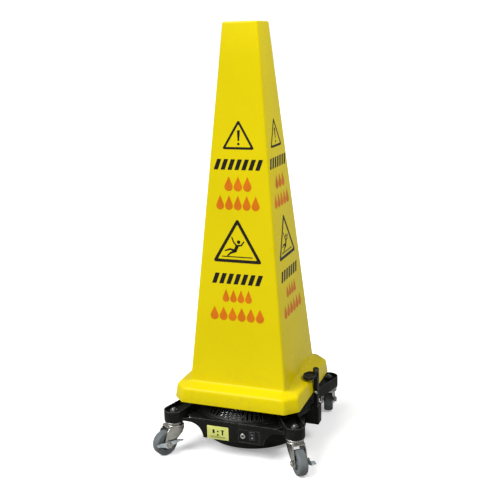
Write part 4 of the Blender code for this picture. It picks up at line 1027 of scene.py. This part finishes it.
def make_wheel(name, wheel_pose, rubber, nylon, zinc):
    half = TREAD_HALF
    tyre = [(HUB_R + 0.3, half - 0.4), (HUB_R + 1.6, half)]
    tyre += arc((WHEEL_R - 5.2, half - 5.0), 5.0, 85, 20, 8)
    tyre += [(WHEEL_R - 0.12, 3.5), (WHEEL_R - 0.12, -3.5)]
    tyre += arc((WHEEL_R - 5.2, 5.0 - half), 5.0, -20, -85, 8)
    tyre += [(HUB_R + 1.6, -half), (HUB_R + 0.3, 0.4 - half)]
    bm = bmesh.new()
    add_lathe(bm, tyre, 96)
    piece(finish_mesh("tread_" + name, bm, rubber, 40, wheel_pose), "wheel_" + name, "grey_rubber",
          "tyre_" + name)

    rim, well = HUB_R - 3.4, half - 1.0
    hub = rounded([(HUB_R, well), (HUB_R, -well), (rim, -well), (rim - 1.4, -4), (9.5, -4),
                   (8, -HUB_HALF), (4.3, -HUB_HALF), (4.3, HUB_HALF), (8, HUB_HALF), (9.5, 4),
                   (rim - 1.4, 4), (rim, well)],
                  [0.8, 0.8, 1, 1.5, 1.5, 0.8, 0.4, 0.4, 0.8, 1.5, 1.5, 1], 3)
    bm = bmesh.new()
    add_lathe(bm, hub, 72)
    for turn in turns(SPOKES):
        for low, high in ((-8.2, -3.6), (3.6, 8.2)):
            add_box(bm, (8.4, -0.9, low), (rim - 0.4, 0.9, high), 0.35, turn)
    piece(finish_mesh("hub_" + name, bm, nylon, 35, wheel_pose), "wheel_" + name, "grey_nylon",
          "wheel_hub_" + name)

    # Axle bolt: hexagon head beyond the lever, nut outside the other leg.
    head = LEVER_OUT + 0.3
    bm = bmesh.new()
    shaft = rounded(rod(PIN_R, -FORK_OUT - 6, head + 1), [0, 0.3, 0.8, 0], 3, closed=False)
    add_lathe(bm, shaft, 40)
    for low, high, size in ((head, head + 3.9, 6.9), (-FORK_OUT - 4.9, -FORK_OUT - 0.4, 6.6)):
        add_prism(bm, rounded(hexagon(size), 0.6, 2), low, high, 0.5)
    piece(finish_mesh("bolt_" + name, bm, zinc, matrix=wheel_pose), "swivel_" + name, "zinc_plate",
          "axle_" + name)


def make_lever(name, swivel, trail, zinc):
    """Pressed lever plate with its pedal folded out behind and a small tab in front."""
    place = swivel @ Matrix.Translation((trail * MM, 0, WHEEL_R * MM))
    arm = arc((0, 0), 8.5, 60, 120, 8) + [(-24, 6.5), (-31, 5.0), (-31, 0.5), (-24, -1.0)]
    arm += arc((0, 0), 8.5, 215, 325, 12) + [(22, 1.0), (31.9, 4.5), (31.9, 8.6), (20, 9.4)]
    radii = [0] * 9 + [8, 1.5, 1.5, 6] + [0] * 13 + [8, 3, 1.0, 6]
    lever = tool("lever_plate", zinc, lambda bm: add_prism(
        bm, rounded(arm, radii, 4), LEVER_IN, LEVER_OUT, 0.5, face="XZ"))
    reach = LEVER_OUT + 8.4
    pedal = rounded([(17.2, LEVER_IN + 0.2), (33.4, LEVER_IN + 0.2), (33.4, reach), (19.0, reach)],
                    [1, 3, 4, 3], 5)
    join(lever, lambda bm: add_prism(bm, pedal, 6.7, 8.7, 0.7))

    def treads(bm):
        for i in range(5):
            add_box(bm, (19.6 + 2.6 * i, LEVER_OUT - 0.4, 8.0), (20.7 + 2.6 * i, reach - 1.6, 9.3), 0.3)

    join(lever, treads)
    tab = rounded(rectangle(-36.9, LEVER_IN + 0.2, -29.0, LEVER_OUT + 3.9), [2, 1, 2, 3], 4)
    join(lever, lambda bm: add_prism(bm, tab, 1.3, 3.3, 0.6))
    cut(lever, lambda bm: add_lathe(bm, rod(PIN_HOLE_R, -40, 40), 32, Matrix.Rotation(math.pi / 2, 4, "X")))
    lever.name = "lever_" + name
    place_at(lever, place)
    smooth_again(lever, zinc)
    piece(lever, "brake_" + name, "zinc_plate", "brake_lever_" + name)


def make_casters(zinc, bright, dull, steel, rubber, nylon):
    for name, (sign_x, sign_y, _) in CORNERS.items():
        swivel, wheel_pose, trail = caster_poses(name)
        make_stem(name, sign_x, sign_y, zinc, dull)
        make_fork(name, swivel, trail, zinc, steel)
        make_wheel(name, wheel_pose, rubber, nylon, zinc)
        make_lever(name, swivel, trail, bright)


# ---------------------------------------------------------------- carried-over nodes

def dress_nodes(materials):
    for node, mat in materials.items():
        obj = frame["nodes"][node]
        obj.data.materials.clear()
        obj.data.materials.append(mat)


# ---------------------------------------------------------------- studio

def area_light(name, place, target, size, power):
    data = bpy.data.lights.new(name, "AREA")
    data.shape = "RECTANGLE"
    data.size, data.size_y = size
    data.energy = power
    light = bpy.data.objects.new(name, data)
    bpy.context.scene.collection.objects.link(light)
    light.location = place
    light.rotation_euler = (Vector(target) - Vector(place)).to_track_quat("-Z", "Y").to_euler()
    light.visible_glossy = False


SURROUND, BACKDROP, FLOOR_RADIUS = 0.33, 1.05, 30.0
SUN_POWER, SUN_SPREAD, TO_SUN = 3.7, 40.0, (-0.43, -0.5, 0.75)


def make_studio():
    """Even grey light all round, a broad sun from the front left, and white behind everything."""
    world = bpy.data.worlds.new("studio")
    bpy.context.scene.world = world
    world.use_nodes = True
    tree = world.node_tree
    surround = tree.nodes["Background"]
    surround.inputs["Color"].default_value = (1.0, 1.0, 1.0, 1.0)
    surround.inputs["Strength"].default_value = SURROUND
    backdrop = tree.nodes.new("ShaderNodeBackground")
    backdrop.inputs["Color"].default_value = (1.0, 1.0, 1.0, 1.0)
    backdrop.inputs["Strength"].default_value = BACKDROP
    rays, mix = tree.nodes.new("ShaderNodeLightPath"), tree.nodes.new("ShaderNodeMixShader")
    tree.links.new(rays.outputs["Is Camera Ray"], mix.inputs["Fac"])
    tree.links.new(surround.outputs["Background"], mix.inputs[1])
    tree.links.new(backdrop.outputs["Background"], mix.inputs[2])
    tree.links.new(mix.outputs["Shader"], tree.nodes["World Output"].inputs["Surface"])
    bm = bmesh.new()
    bmesh.ops.create_circle(bm, cap_ends=True, segments=96, radius=FLOOR_RADIUS)
    floor = finish_mesh("floor", bm, floor_paint())
    sun = bpy.data.lights.new("sun", "SUN")
    sun.energy = SUN_POWER
    sun.angle = math.radians(SUN_SPREAD)
    light = bpy.data.objects.new("sun", sun)
    bpy.context.scene.collection.objects.link(light)
    light.rotation_euler = Vector(TO_SUN).to_track_quat("Z", "Y").to_euler()
    area_light("fill", (1.3, -0.5, 1.8), (0, 0, 0.95), (0.8, 0.8), 24)
    bpy.context.scene.view_settings.view_transform = "Standard"


make_camera()
yellow, black, gloss, zinc = yellow_plastic(), black_plastic(), gloss_black(), zinc_plate()
steel, rubber, nylon, film = brushed_steel(), grey_rubber(), grey_nylon(), label_film()
black_ink, orange_ink = ink("black_ink", (0.012, 0.010, 0.008)), ink("orange_ink", (0.60, 0.15, 0.004))
dull = plain_metal("dull_zinc", (0.16, 0.16, 0.16), 1.7, (0.42, 0.6))
# A darkened copy of steel: painted shade for the motor and strap seen inside the base through the grille
# slots.
painted_shade_steel = plain_metal("painted_shade_steel", (0.07, 0.07, 0.075), 1.5, (0.35, 0.5))
bright = plain_metal("bright_zinc", (0.70, 0.76, 0.80), 1.25, (0.3, 0.42))
white_ink = ink("white_ink", (0.75, 0.76, 0.78))

make_cone(yellow)
make_legend(black_ink, orange_ink)
make_chassis(black)
make_shroud(black)
make_guard(black)
make_panel(black, gloss, steel, white_ink)
make_label(film, black_ink)
make_latch(black, steel)
make_casters(zinc, bright, dull, steel, rubber, nylon)

dress_nodes({
    # The motor and strap get the darkened steel as painted shade inside the base.
    "fan_motor": painted_shade_steel, "motor_shaft": steel, "motor_mount": black, "battery_tray": black,
    "battery_strap": painted_shade_steel, "jack_nut": steel,
    "battery": plain_plastic("battery_case", (0.05, 0.055, 0.06)),
    "fan_impeller": plain_plastic("fan_plastic", (0.09, 0.09, 0.1)),
    "charge_board": plain_plastic("solder_mask", (0.02, 0.16, 0.07), 1.5, (0.25, 0.4)),
    "lead_red": plain_plastic("red_insulation", (0.5, 0.02, 0.015), 1.2, (0.4, 0.5)),
    "lead_black": plain_plastic("black_insulation", (0.015, 0.015, 0.016), 1.6, (0.4, 0.5)),
})
make_studio()
